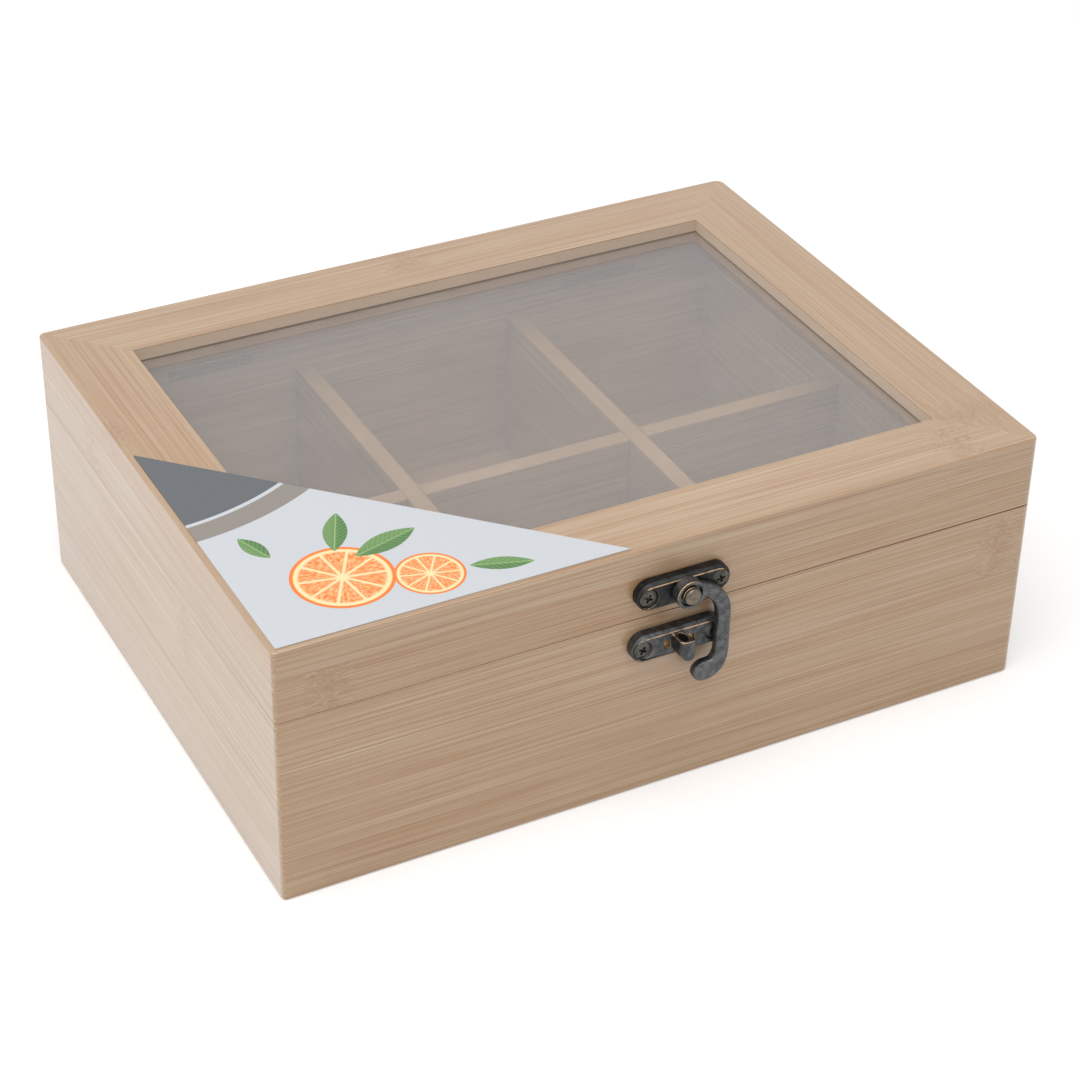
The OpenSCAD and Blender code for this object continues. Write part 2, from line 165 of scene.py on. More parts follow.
class MetalSettings(PropertyGroup):
    """Sizes and colours of the latch and the hinges."""

    plate_chamfer_w: length("Chamfer width", "Width of the plates' chamfer, from the front", 0.8)
    plate_chamfer_t: length("Chamfer height", "Height of the plates' chamfer", 1.0)
    edge_r: length("Worn edge", "Rounding of the metal's edges", 0.16)
    head_gap: length("Head gap", "Clearance round a plate screw's head", 0.3)
    head_sink: length("Head depth", "Depth of a plate screw's head below its plate", 0.45)
    bronze: colour("Bronze", "Colour of the aged bronze", 74, 75, 76)
    arm_round_w: length("Arm rounding, across", "Width of the rounding along the hook's arm", 1.5)
    arm_round_t: length("Arm rounding, deep", "Depth of the rounding along the hook's arm", 1.2)
    # Pale gold of rubbed-off plating, also painted as a highlight on edges that face the light
    worn: colour("Worn edge", "Colour of the metal where the plating is rubbed off", 206, 172, 128)
    screw: colour("Screw", "Colour of the latch's screws and rivet", 86, 88, 86)
    steel: colour("Hinge", "Colour of the hinges", 84, 88, 80)


class GlassSettings(PropertyGroup):
    """The pane in the lid."""

    edge_r: length("Edge", "Rounding of the pane's edges", 0.25)
    tint: colour("Tint", "Colour of the glass", 222, 219, 217)
    haze: FloatProperty(name="Haze", subtype="FACTOR", min=0, max=1, default=0.12,
                        description="Share of the pane's light that a thin bloom scatters")


class CardSettings(PropertyGroup):
    """The three-cornered card on the lid."""

    edge_r: length("Edge", "Rounding of the card's edges", 0.05)
    field: colour("Field", "Colour of the card", 199, 202, 206)
    slate: colour("Slate", "Colour of the card's dark corner", 92, 96, 100)
    taupe: colour("Taupe", "Colour of the band beside the dark corner", 140, 133, 126)
    fruit: colour("Fruit", "Colour of the fruit's flesh and rind", 236, 124, 44)
    pith: colour("Pith", "Colour of the fruit's pith", 247, 221, 168)
    leaf: colour("Leaf", "Colour of the leaves", 74, 118, 62)
    leaf_vein: colour("Leaf vein", "Colour of the leaves' midribs", 150, 182, 118)


class StageSettings(PropertyGroup):
    """Floor, light and camera."""

    floor: colour("Floor", "Colour of the floor", 236, 236, 236)
    floor_glow: FloatProperty(name="Floor glow", min=0, max=1, default=0.22,
                              description="White that the camera sees added to the floor")
    far_glow: FloatProperty(name="Far glow", min=0, max=1, default=0.4,
                            description="White that the camera sees added far from the box")
    sky: FloatProperty(name="Surroundings", min=0, max=5, default=0.50,
                       description="Strength of the light from all round")
    key: FloatProperty(name="Key light", subtype="POWER", min=0, default=14.5,
                       description="Power of the large lamp above")
    side: FloatProperty(name="Side light", subtype="POWER", min=0, default=4,
                        description="Power of the lamp on the left")


# ---- Meshes ----


def merged(mesh):
    """A mesh as a bmesh whose loose triangles are one skin with whole flat faces."""
    shape = bmesh.new()
    shape.from_mesh(mesh)
    bmesh.ops.remove_doubles(shape, verts=shape.verts, dist=TOUCH)
    bmesh.ops.dissolve_limit(shape, angle_limit=FLAT_ANGLE, verts=shape.verts, edges=shape.edges)
    shape.normal_update()
    return shape


def copy_of(node):
    """A merged copy of a node's mesh."""
    return merged(frame["nodes"][node].data)


def is_sharp(edge):
    """True where two faces meet at a clear angle."""
    return len(edge.link_faces) == 2 and edge.calc_face_angle() > SHARP_ANGLE


def mesh_of(name, shape):
    """A mesh of this name from a shape, which is used up."""
    mesh = bpy.data.meshes.new(name)
    shape.to_mesh(mesh)
    shape.free()
    return mesh


def in_scene(name, data):
    """An object of this name in the scene, with a mesh, a camera or a lamp as its data."""
    thing = bpy.data.objects.new(name, data)
    bpy.context.scene.collection.objects.link(thing)
    return thing


def new_piece(name, shape, body, finish, replaced):
    """A shape becomes a piece that rides on a body and stands for some nodes."""
    if isinstance(shape, bpy.types.Mesh):
        mesh = shape
        mesh.name = name
    else:
        mesh = mesh_of(name, shape)
    for polygon in mesh.polygons:
        polygon.use_smooth = True
    mesh.materials.clear()
    mesh.materials.append(finish)
    piece = in_scene(name, mesh)
    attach(piece, body)
    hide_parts(*replaced)
    return piece


def shade_evenly(piece):
    """Weighs the piece's normals by its faces, so that flat faces look flat."""
    shading = piece.modifiers.new("even_shading", "WEIGHTED_NORMAL")
    shading.keep_sharp = True


def add_bevel(piece, width, limit="WEIGHT", segments=3):
    """A live bevel with even shading, on weighted edges or on all sharp ones."""
    bevel = piece.modifiers.new("eased_edges", "BEVEL")
    bevel.width = width
    bevel.segments = segments
    bevel.limit_method = limit
    bevel.angle_limit = SHARP_ANGLE
    bevel.use_clamp_overlap = limit == "ANGLE"
    shade_evenly(piece)


def weigh_edges(shape, width_of):
    """Sets each sharp edge's bevel weight from the width that it gets; returns the widest."""
    weights = shape.edges.layers.float.new("bevel_weight_edge")
    widths = {edge: width_of(edge) for edge in shape.edges if is_sharp(edge)}
    widest = max(widths.values())
    for edge, width in widths.items():
        edge[weights] = width / widest
        edge.smooth = width > 0
    return widest


def loft(rings):
    """A closed shape through rings of points that have the same count."""
    shape = bmesh.new()
    rows = [[shape.verts.new(point) for point in ring] for ring in rings]
    for low, high in zip(rows, rows[1:]):
        for here in range(len(low)):
            after = (here + 1) % len(low)
            shape.faces.new((low[here], low[after], high[after], high[here]))
    shape.faces.new(reversed(rows[0]))
    shape.faces.new(rows[-1])
    bmesh.ops.recalc_face_normals(shape, faces=shape.faces)
    return shape


def lathe(profile, steps=48):
    """A shape turned round Z, from (radius, height) points that start and end on the axis."""
    shape = bmesh.new()
    rows = []
    for radius, height in profile:
        if radius == 0:
            rows.append([shape.verts.new((0, 0, height))] * steps)
            continue
        angles = [2 * math.pi * step / steps for step in range(steps)]
        rows.append([shape.verts.new((radius * math.cos(a), radius * math.sin(a), height))
                     for a in angles])
    for low, high in zip(rows, rows[1:]):
        for here in range(steps):
            after = (here + 1) % steps
            corners = dict.fromkeys((low[here], low[after], high[after], high[here]))
            shape.faces.new(list(corners))
    bmesh.ops.recalc_face_normals(shape, faces=shape.faces)
    return shape


def arc(centre, radius, start, end, steps):
    """Points on an arc in a plane, with angles in degrees."""
    angles = [math.radians(start + (end - start) * step / steps) for step in range(steps + 1)]
    return [(centre[0] + radius * math.cos(a), centre[1] + radius * math.sin(a)) for a in angles]


def block(low, high):
    """A plain box between two corners, to join or cut with."""
    shape = bmesh.new()
    size = Vector(high) - Vector(low)
    bmesh.ops.create_cube(shape, size=1,
                          matrix=Matrix.Translation((Vector(high) + Vector(low)) / 2)
                          @ Matrix.Diagonal((*size, 1)))
    return shape


def prism(outline, back, front):
    """An outline of (x, z) points made solid from y = back to y = front."""
    return loft([[(x, y, z) for x, z in outline] for y in (back, front)])


def turned(shape, matrix):
    """The shape moved by a matrix."""
    bmesh.ops.transform(shape, matrix=matrix, verts=shape.verts)
    return shape


def combined(base, steps):
    """The base shape after a list of (kind of Boolean, shape) steps, merged."""
    helpers = [in_scene("helper", mesh_of("helper", shape))
               for shape in [base] + [step[1] for step in steps]]
    host = helpers[0]
    for helper, (operation, _) in zip(helpers[1:], steps):
        step = host.modifiers.new("step", "BOOLEAN")
        step.operation = operation
        step.solver = "EXACT"
        step.object = helper
    graph = bpy.context.evaluated_depsgraph_get()
    mesh = bpy.data.meshes.new_from_object(host.evaluated_get(graph))
    for helper in helpers:
        bpy.data.objects.remove(helper)
    return merged(mesh)


# The attribute that holds the pale gold mark: wear, and on edges that face the light a painted
# highlight
WEAR_AND_GLINT = "wear"
# Fingers rub the plating off from above and from the left, and the light falls from there too:
# edges that face this way get pale gold, partly wear and partly a painted highlight
RUB_AND_GLINT_FROM = Vector((-0.65, -0.3, 0.8))


def rub_edges(shape, width, wear_at):
    """Rounds the shape's convex sharp edges and marks them with pale gold, partly wear and partly a
    painted highlight.

    wear_at gives the mark, from 0 to 1, from a place and the way that the surface looks there.
    """
    wear = shape.loops.layers.float.new(WEAR_AND_GLINT)
    edges = [edge for edge in shape.edges if is_sharp(edge) and edge.is_convex]
    for edge in shape.edges:
        edge.smooth = not is_sharp(edge)
    made = bmesh.ops.bevel(shape, geom=edges, offset=width, segments=3, profile=0.5,
                           affect="EDGES", clamp_overlap=False, material=-1)
    shape.normal_update()
    rounded = set(made["faces"])
    for face in shape.faces:
        rub_and_glint = wear_at(face.calc_center_median(), face.normal, face in rounded)
        for corner in face.loops:
            corner[wear] = max(0, min(1, rub_and_glint))
            if face in rounded:
                corner.edge.smooth = True
    return shape


# ---- Shader nodes ----

NODE_STEP = Vector((190, -170))
NODES_PER_COLUMN = 5


class Wiring:
    """Adds nodes to a tree and links them."""

    def __init__(self, tree):
        self.tree = tree
        self.count = 0

    def add(self, kind, inputs=None, **settings):
        """A new node of this kind; inputs maps names or numbers of sockets to what feeds them."""
        node = self.tree.nodes.new(kind)
        column, row = divmod(self.count, NODES_PER_COLUMN)
        node.location = (NODE_STEP.x * column, NODE_STEP.y * row)
        self.count += 1
        for name, value in settings.items():
            setattr(node, name, value)
        for socket, value in (inputs or {}).items():
            self.feed(node.inputs[socket], value)
        return node

    def feed(self, socket, value):
        """Links a socket to another, or sets it to a plain value."""
        if isinstance(value, bpy.types.NodeSocket):
            self.tree.links.new(value, socket)
        elif socket.type == "RGBA":
            socket.default_value = (*value[:3], 1)
        else:
            socket.default_value = value

    def math(self, operation, first, second=0.0, third=0.0, clamp=False):
        """The result of a sum on numbers."""
        return self.add("ShaderNodeMath", {0: first, 1: second, 2: third}, operation=operation,
                        use_clamp=clamp).outputs[0]

    def vector(self, operation, first, second=(0, 0, 0)):
        """The result of a sum on vectors."""
        node = self.add("ShaderNodeVectorMath", {0: first, 1: second}, operation=operation)
        return node.outputs["Value" if operation in ("LENGTH", "DISTANCE") else "Vector"]

    def scale(self, vector, factor):
        """A vector times a number."""
        return self.add("ShaderNodeVectorMath", {0: vector, "Scale": factor},
                        operation="SCALE").outputs["Vector"]

    def split(self, vector):
        """The three parts of a vector."""
        return tuple(self.add("ShaderNodeSeparateXYZ", {0: vector}).outputs)

    def join(self, x, y, z=0.0):
        """A vector of three numbers."""
        return self.add("ShaderNodeCombineXYZ", {0: x, 1: y, 2: z}).outputs[0]

    def ramp(self, value, low, high, out_low=0.0, out_high=1.0):
        """A smooth step from out_low, at low, to out_high, at high."""
        inputs = {"Value": value, "From Min": low, "From Max": high, "To Min": out_low,
                  "To Max": out_high}
        return self.add("ShaderNodeMapRange", inputs, interpolation_type="SMOOTHSTEP").outputs[0]

    def noise(self, vector, scale=1.0, detail=2.0, roughness=0.5):
        """Noise from 0 to 1, with one bump per unit at scale 1."""
        inputs = {"Vector": vector, "Scale": scale, "Detail": detail, "Roughness": roughness}
        return self.add("ShaderNodeTexNoise", inputs).outputs[0]

    def mix(self, factor, first, second, clamp=True):
        """Two colours mixed; without clamp, a factor beyond 0 to 1 goes past them."""
        return self.add("ShaderNodeMix", {0: factor, 6: first, 7: second}, data_type="RGBA",
                        clamp_factor=clamp).outputs[2]

    def group(self, tree, **given):
        """A node group in place; words in given names are parted by underscores."""
        inputs = {name.replace("_", " ").capitalize(): value for name, value in given.items()}
        return self.add("ShaderNodeGroup", inputs, node_tree=tree).outputs


def new_group(name, inputs, outputs):
    """An empty shader group; inputs and outputs are (name, kind) pairs."""
    tree = bpy.data.node_groups.new(name, "ShaderNodeTree")
    for label, kind in inputs:
        tree.interface.new_socket(name=label, in_out="INPUT", socket_type="NodeSocket" + kind)
    for label, kind in outputs:
        tree.interface.new_socket(name=label, in_out="OUTPUT", socket_type="NodeSocket" + kind)
    wiring = Wiring(tree)
    given = wiring.add("NodeGroupInput").outputs
    result = wiring.add("NodeGroupOutput").inputs
    return wiring, given, result


def once(name, maker):
    """The node group of this name, made the first time that it is asked for."""
    return bpy.data.node_groups.get(name) or maker(name)


# The grain's patterns: bumps per millimetre along and across the grain, detail, roughness
BROAD = (0.006, 0.16, 2, 0.5)
STREAK = (0.007, 0.85, 3, 0.6)
HAIR = (0.013, 1.7, 2, 0.7)
THREAD = (0.018, 2.5, 1, 0.7)
PIN = (0.009, 2.3, 1, 0.5)
DASH = (0.22, 4.2, 1, 0.5)
CLOUD = (0.03, 0.05, 2, 0.5)
# How far each of them moves the colour between pale and deep; TONE is a strip's own shift
STREAK_SHARE, HAIR_SHARE, THREAD_SHARE = 1.1, 2.3, 4.6
BROAD_SHARE, TONE_SHARE, CLOUD_SHARE = 0.8, 0.45, 0.6
# Strips are moved against each other by up to this many millimetres
STRIP_SHIFT = 60


def bamboo_grain(name):
    """Bamboo strips. Position is in millimetres: x along the grain, y across the strips."""
    w, given, result = new_group(
        name,
        [("Position", "Vector"), ("Pale", "Color"), ("Deep", "Color"), ("Fibre", "Color"),
         ("Strip width", "Float"), ("Strip start", "Float"), ("Seed", "Float"),
         ("Contrast", "Float")],
        [("Color", "Color"), ("Roughness", "Float"), ("Height", "Float")])
    along, across, depth = w.split(given["Position"])
    strip = w.math("DIVIDE", w.math("SUBTRACT", across, given["Strip start"]), given["Strip width"])
    number = w.math("FLOOR", strip)
    board = w.math("SIGN", depth)
    chance = w.add("ShaderNodeTexWhiteNoise",
                   {"Vector": w.join(number, board, given["Seed"])}, noise_dimensions="3D")
    tone, shift = chance.outputs["Value"], w.scale(chance.outputs["Color"], STRIP_SHIFT)
    place = w.vector("ADD", w.join(along, across, depth), shift)

    def pattern(with_grain, against, detail, roughness):
        stretched = w.vector("MULTIPLY", place, (with_grain, against, against))
        return w.noise(stretched, detail=detail, roughness=roughness)

    streak, hair, pin = pattern(*STREAK), pattern(*HAIR), pattern(*PIN)
    blend = w.math("MULTIPLY_ADD", w.math("SUBTRACT", streak, 0.5), STREAK_SHARE, 0.5)
    for value, share in ((hair, HAIR_SHARE), (pattern(*THREAD), THREAD_SHARE),
                         (pattern(*BROAD), BROAD_SHARE), (tone, TONE_SHARE),
                         (pattern(*CLOUD), CLOUD_SHARE)):
        blend = w.math("MULTIPLY_ADD", w.math("SUBTRACT", value, 0.5), share, blend)
    blend = w.math("MULTIPLY_ADD", w.math("SUBTRACT", blend, 0.5), given["Contrast"], 0.5)
    blend = w.math("MAXIMUM", w.math("MINIMUM", blend, 2.0), -1.0)
    shade = w.mix(blend, given["Pale"], given["Deep"], clamp=False)
    pins = w.math("MULTIPLY", w.ramp(pin, 0.60, 0.70, 0, 0.50), given["Contrast"])
    dashes = w.math("MULTIPLY", w.ramp(pattern(*DASH), 0.66, 0.76, 0, 0.30), given["Contrast"])
    # The joint between two strips is a thin dark line that fades along its run
    part = w.math("FRACT", strip)
    near = w.math("MULTIPLY", w.math("MINIMUM", part, w.math("SUBTRACT", 1, part)),
                  given["Strip width"])
    faint = w.ramp(w.noise(w.vector("MULTIPLY", place, (0.02, 0.0, 0.02))), 0.35, 0.65, 0.25, 0.9)
    line = w.math("MULTIPLY", w.ramp(near, 0.02, 0.28, 1, 0), faint)
    shade = w.mix(pins, shade, given["Fibre"])
    shade = w.mix(dashes, shade, given["Fibre"])
    w.feed(result["Color"], w.mix(w.math("MULTIPLY", line, 0.62), shade, given["Fibre"]))

    rough = w.math("MULTIPLY_ADD", hair, 0.16, 0.34)
    w.feed(result["Roughness"], w.math("MULTIPLY_ADD", pins, 0.2, rough))
    height = w.math("MULTIPLY_ADD", streak, 0.5, hair)
    height = w.math("MULTIPLY_ADD", pins, -0.9, height)
    w.feed(result["Height"], w.math("MULTIPLY_ADD", line, -1.6, height))
    return w.tree


def bamboo_knuckle(name):
    """A bamboo joint: the grain bends round it, and short dark dashes mark it."""
    w, given, result = new_group(
        name,
        [("Position", "Vector"), ("Centre", "Vector"), ("Reach", "Vector")],
        [("Position", "Vector"), ("Mark", "Float")])
    place = w.vector("SUBTRACT", given["Position"], given["Centre"])
    along, across, depth = w.split(w.vector("DIVIDE", place, given["Reach"]))
    side = w.math("MAXIMUM", w.math("ABSOLUTE", across), w.math("ABSOLUTE", depth))
    inside = w.ramp(side, 0.75, 1.05, 1, 0)
    bell = w.math("MULTIPLY", w.ramp(w.math("ABSOLUTE", along), 0, 1, 1, 0), inside)
    wave = w.noise(w.vector("MULTIPLY", given["Position"], (0.12, 0.42, 0.42)), detail=2)
    bend = w.math("MULTIPLY", w.math("SUBTRACT", wave, 0.5), w.math("MULTIPLY", bell, 7))
    w.feed(result["Position"], w.vector("ADD", given["Position"], w.join(0, bend, bend)))

    # Dashes gather along a wavy line across the grain
    drift = w.math("MULTIPLY_ADD", w.math("SUBTRACT", wave, 0.5), 0.9, along)
    ridge = w.ramp(w.math("ABSOLUTE", drift), 0.02, 0.22, 1, 0)
    fleck = w.noise(w.vector("MULTIPLY", given["Position"], (0.9, 3.2, 3.2)), detail=2,
                    roughness=0.7)
    flecks = w.ramp(fleck, 0.50, 0.62)
    close = w.math("MULTIPLY", w.math("MULTIPLY", ridge, flecks), inside)
    around = w.math("MULTIPLY", bell, w.ramp(fleck, 0.53, 0.70, 0, 0.75))
    stain = w.math("MULTIPLY", bell, 0.22)
    w.feed(result["Mark"], w.math("ADD", w.math("MAXIMUM", close, around), stain, clamp=True))
    return w.tree


def new_material(name):
    """A material with a Principled shader; returns it, its wiring, the shader and the output."""
    material = bpy.data.materials.new(name)
    material.use_nodes = True
    material.node_tree.nodes.clear()
    w = Wiring(material.node_tree)
    shader = w.add("ShaderNodeBsdfPrincipled")
    output = w.add("ShaderNodeOutputMaterial", {"Surface": shader.outputs[0]})
    return material, w, shader, output


# Roughness of the bamboo's clear lacquer, and how deep each finish's relief is
LACQUER_ROUGHNESS = 0.28
BAMBOO_RELIEF, METAL_RELIEF, CARD_RELIEF = 0.03 * MM, 0.05 * MM, 0.01 * MM
# How much of the fibres' colour a bamboo joint takes on
KNUCKLE_SHARE = 0.55


def object_mm(w):
    """Object coordinates in millimetres."""
    return w.scale(w.add("ShaderNodeTexCoord").outputs["Object"], 1 / MM)


def add_bump(w, shader, height, distance, strength):
    """Roughens the shader's normal by a height pattern."""
    bump = w.add("ShaderNodeBump", {"Strength": strength, "Distance": distance,
                                    "Height": height})
    w.feed(shader.inputs["Normal"], bump.outputs[0])


def on_sill(w):
    """1 on the faces round the glass, in the opening of the lid's frame, where a paler colour is
    painted light on faces in shade.
    """
    x, y, z = w.split(object_mm(w))
    from_side = w.math("SUBTRACT", BOX_LENGTH / 2 / MM, w.math("ABSOLUTE", x))
    from_end = w.math("SUBTRACT", BOX_DEPTH / 2 / MM, w.math("ABSOLUTE", y))
    inner, top = RAIL_W / MM, LID_TOP_Z / MM
    inwards = w.ramp(w.math("MINIMUM", from_side, from_end), inner - 0.5, inner - 0.3)
    return w.math("MULTIPLY", inwards, w.ramp(z, top - 0.35, top - 0.1, 1, 0))


def on_foot(w):
    """1 at the lower edge of the end walls, fading upwards."""
    z = w.split(object_mm(w))[2]
    return w.ramp(z, 6, 30, 1, 0)


def on_ridge(w):
    """1 on the top edges of the dividers."""
    z = w.split(object_mm(w))[2]
    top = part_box("long_divider")[1].z / MM
    return w.ramp(z, top - 0.5, top - 0.2)


def bamboo(name, along, across, pale, deep, strip, seed, knuckles=(), contrast=1.0, trim=None):
    """Lacquered bamboo with its grain along one axis and its strips side by side along another.

    A strip is the strips' width and the place of the first one's edge. Knuckles are (centre,
    reach) pairs in millimetres, in the box's own axes. A trim is the rule for a zone and the
    zone's colour and share.
    """
    fibre = bpy.context.scene.tea_boards.fibre
    material, w, shader, _ = new_material(name)
    turn = Matrix((along, across, along.cross(across)))
    place = w.add("ShaderNodeMapping", {"Vector": object_mm(w), "Rotation": turn.to_euler("XYZ")},
                  vector_type="POINT").outputs[0]
    marks = None
    for centre, reach in knuckles:
        far = turn @ Vector(reach)
        knuckle = w.group(once("bamboo_knuckle", bamboo_knuckle), position=place,
                          centre=turn @ Vector(centre), reach=[abs(value) for value in far])
        place = knuckle["Position"]
        marks = knuckle["Mark"] if marks is None else w.math("MAXIMUM", marks, knuckle["Mark"])
    grain = w.group(once("bamboo_grain", bamboo_grain), position=place, pale=pale, deep=deep,
                    fibre=fibre, strip_width=strip[0] / MM, strip_start=strip[1] / MM, seed=seed,
                    contrast=contrast)
    tone = grain["Color"]
    if marks is not None:
        tone = w.mix(w.math("MULTIPLY", marks, KNUCKLE_SHARE), tone, fibre)
    if trim:
        zone, tint, share = trim
        tone = w.mix(w.math("MULTIPLY", zone(w), share), tone, tint)
    w.feed(shader.inputs["Base Color"], tone)
    w.feed(shader.inputs["Roughness"], grain["Roughness"])
    shader.inputs["Coat Weight"].default_value = 1.0
    shader.inputs["Coat Roughness"].default_value = LACQUER_ROUGHNESS
    add_bump(w, shader, grain["Height"], BAMBOO_RELIEF, 0.4)
    return material


def aged_metal(name):
    """Blotchy plated metal with pale gold edges, partly rubbed wear and partly painted highlight.
    Position is in millimetres.
    """
    w, given, result = new_group(
        name,
        [("Position", "Vector"), ("Plating", "Color"), ("Rubbed", "Color"), ("Wear", "Float")],
        [("Color", "Color"), ("Roughness", "Float"), ("Height", "Float")])
    blotch = w.noise(given["Position"], scale=0.55, detail=4, roughness=0.6)
    grain = w.noise(given["Position"], scale=3.5, detail=3, roughness=0.65)
    rubs = w.noise(given["Position"], scale=0.45, detail=4, roughness=0.6)
    dark = w.scale(given["Plating"], 0.6)
    light = w.scale(given["Plating"], 1.35)
    plating = w.mix(w.ramp(blotch, 0.32, 0.68), dark, light)
    # The Wear input is real wear, and on edges that face up and to the left also a painted
    # highlight
    worn = w.math("MULTIPLY", given["Wear"], w.ramp(rubs, 0.32, 0.50))
    specks = w.ramp(grain, 0.66, 0.74, 0, 0.15)
    bare = w.math("MAXIMUM", worn, specks)
    w.feed(result["Color"], w.mix(bare, plating, given["Rubbed"]))
    smooth = w.ramp(bare, 0, 1, 0.30, 0.20)
    w.feed(result["Roughness"], w.math("MULTIPLY_ADD", blotch, 0.25, smooth))
    w.feed(result["Height"], w.math("MULTIPLY_ADD", blotch, 1.5, grain))
    return w.tree


def metal(name, plating, rubbed, wear=None):
    """A metal finish; wear is None where the piece's own attribute gives it, wear and painted
    highlight together.
    """
    material, w, shader, _ = new_material(name)
    if wear is None:
        wear = w.add("ShaderNodeAttribute", attribute_name=WEAR_AND_GLINT).outputs["Fac"]
    parts = w.group(once("aged_metal", aged_metal), position=object_mm(w), plating=plating,
                    rubbed=rubbed, wear=wear)
    w.feed(shader.inputs["Base Color"], parts["Color"])
    w.feed(shader.inputs["Roughness"], parts["Roughness"])
    shader.inputs["Metallic"].default_value = 0.9
    add_bump(w, shader, parts["Height"], METAL_RELIEF, 0.6)
    return material


# The latch's pieces against the colour of bronze or steel that the settings give; the catch plate
# and the hook are paler, a painted glare of scattered light over them, and the hook's plate is
# darker, without it
HOOK_PLATE_TONE, CATCH_PLATE_GLARE_TONE, HOOK_GLARE_TONE = 0.45, 1.2, 1.5
RIVET_TONE, SCREW_TONE = 1, 0.75


def latch_finish(node, share):
    """The aged bronze of one of the latch's pieces, darker or paler by a share; a paler share is
    painted glare.
    """
    settings = bpy.context.scene.tea_metal
    plating = [channel * share for channel in settings.bronze]
    return metal("latch_bronze_" + node, plating, settings.worn)


def screw_finish(name, share, wear):
    """The steel of the latch's screws or its rivet, with a little wear."""
    settings = bpy.context.scene.tea_metal
    return metal(name, [channel * share for channel in settings.screw], settings.worn, wear=wear)


def hinge_finish():
    """The hinges' plating, shared by their pieces."""
    settings = bpy.context.scene.tea_metal
    name = "hinge_plating"
    return bpy.data.materials.get(name) or metal(name, settings.steel, settings.worn, wear=0.15)


# The share of the lamps' red, green and blue that the glass lets through
GLASS_SHADOW = (0.87, 0.86, 0.84)


def clear_glass():
    """Thin float glass with a faint bloom; lamps shine through it."""
    settings = bpy.context.scene.tea_glass
    material, w, shader, output = new_material("float_glass")
    smear = w.noise(w.vector("MULTIPLY", object_mm(w), (0.03, 0.05, 0.05)), detail=3)
    w.feed(shader.inputs["Base Color"],
           w.mix(w.ramp(smear, 0.3, 0.7), settings.tint, w.scale(settings.tint, 0.94)))
    w.feed(shader.inputs["Roughness"], w.ramp(smear, 0.3, 0.7, 0.015, 0.035))
    shader.inputs["Transmission Weight"].default_value = 1 - settings.haze
    shader.inputs["IOR"].default_value = 1.5
    clear = w.add("ShaderNodeBsdfTransparent", {"Color": GLASS_SHADOW})
    in_shadow = w.add("ShaderNodeLightPath").outputs["Is Shadow Ray"]
    pane = w.add("ShaderNodeMixShader", {0: in_shadow, 1: shader.outputs[0],
                                         2: clear.outputs[0]})
    w.feed(output.inputs["Surface"], pane.outputs[0])
    return material


FRUIT_SEGMENTS = 10


def fruit_print(name):
    """A round slice of fruit, printed flat. Position and centre are in millimetres."""
    w, given, result = new_group(
        name,
        [("Color", "Color"), ("Position", "Vector"), ("Centre", "Vector"), ("Radius", "Float"),
         ("Turn", "Float"), ("Flesh", "Color"), ("Pith", "Color")],
        [("Color", "Color")])
    x, y, _ = w.split(w.vector("SUBTRACT", given["Position"], given["Centre"]))
    away = w.math("DIVIDE", w.vector("LENGTH", w.join(x, y)), given["Radius"])
    angle = w.math("ADD", w.math("ARCTAN2", y, x), given["Turn"])
    # The angle within one segment runs from -1 to 1
    segment = w.math("FRACT", w.math("MULTIPLY", angle, FRUIT_SEGMENTS / (2 * math.pi)))
    within = w.math("MULTIPLY_ADD", segment, 2, -1)
    wall = w.math("MULTIPLY", w.math("SUBTRACT", 1, w.math("ABSOLUTE", within)), away)
    flesh = w.math("MULTIPLY", w.ramp(wall, 0.05, 0.14), w.ramp(away, 0.80, 0.86, 1, 0))
    flesh = w.math("MULTIPLY", flesh, w.ramp(away, 0.07, 0.14))
    drops = w.noise(w.join(w.math("MULTIPLY", angle, 9), w.math("MULTIPLY", away, 5)),
                    scale=1.6, detail=2)
    juicy = w.mix(w.ramp(drops, 0.35, 0.7, 0, 0.6), given["Flesh"], given["Pith"])
    slice_tone = w.mix(flesh, given["Pith"], juicy)
    slice_tone = w.mix(w.ramp(away, 0.91, 0.94), slice_tone, given["Flesh"])
    w.feed(result["Color"], w.mix(w.ramp(away, 0.99, 1.01, 1, 0), given["Color"], slice_tone))
    return w.tree


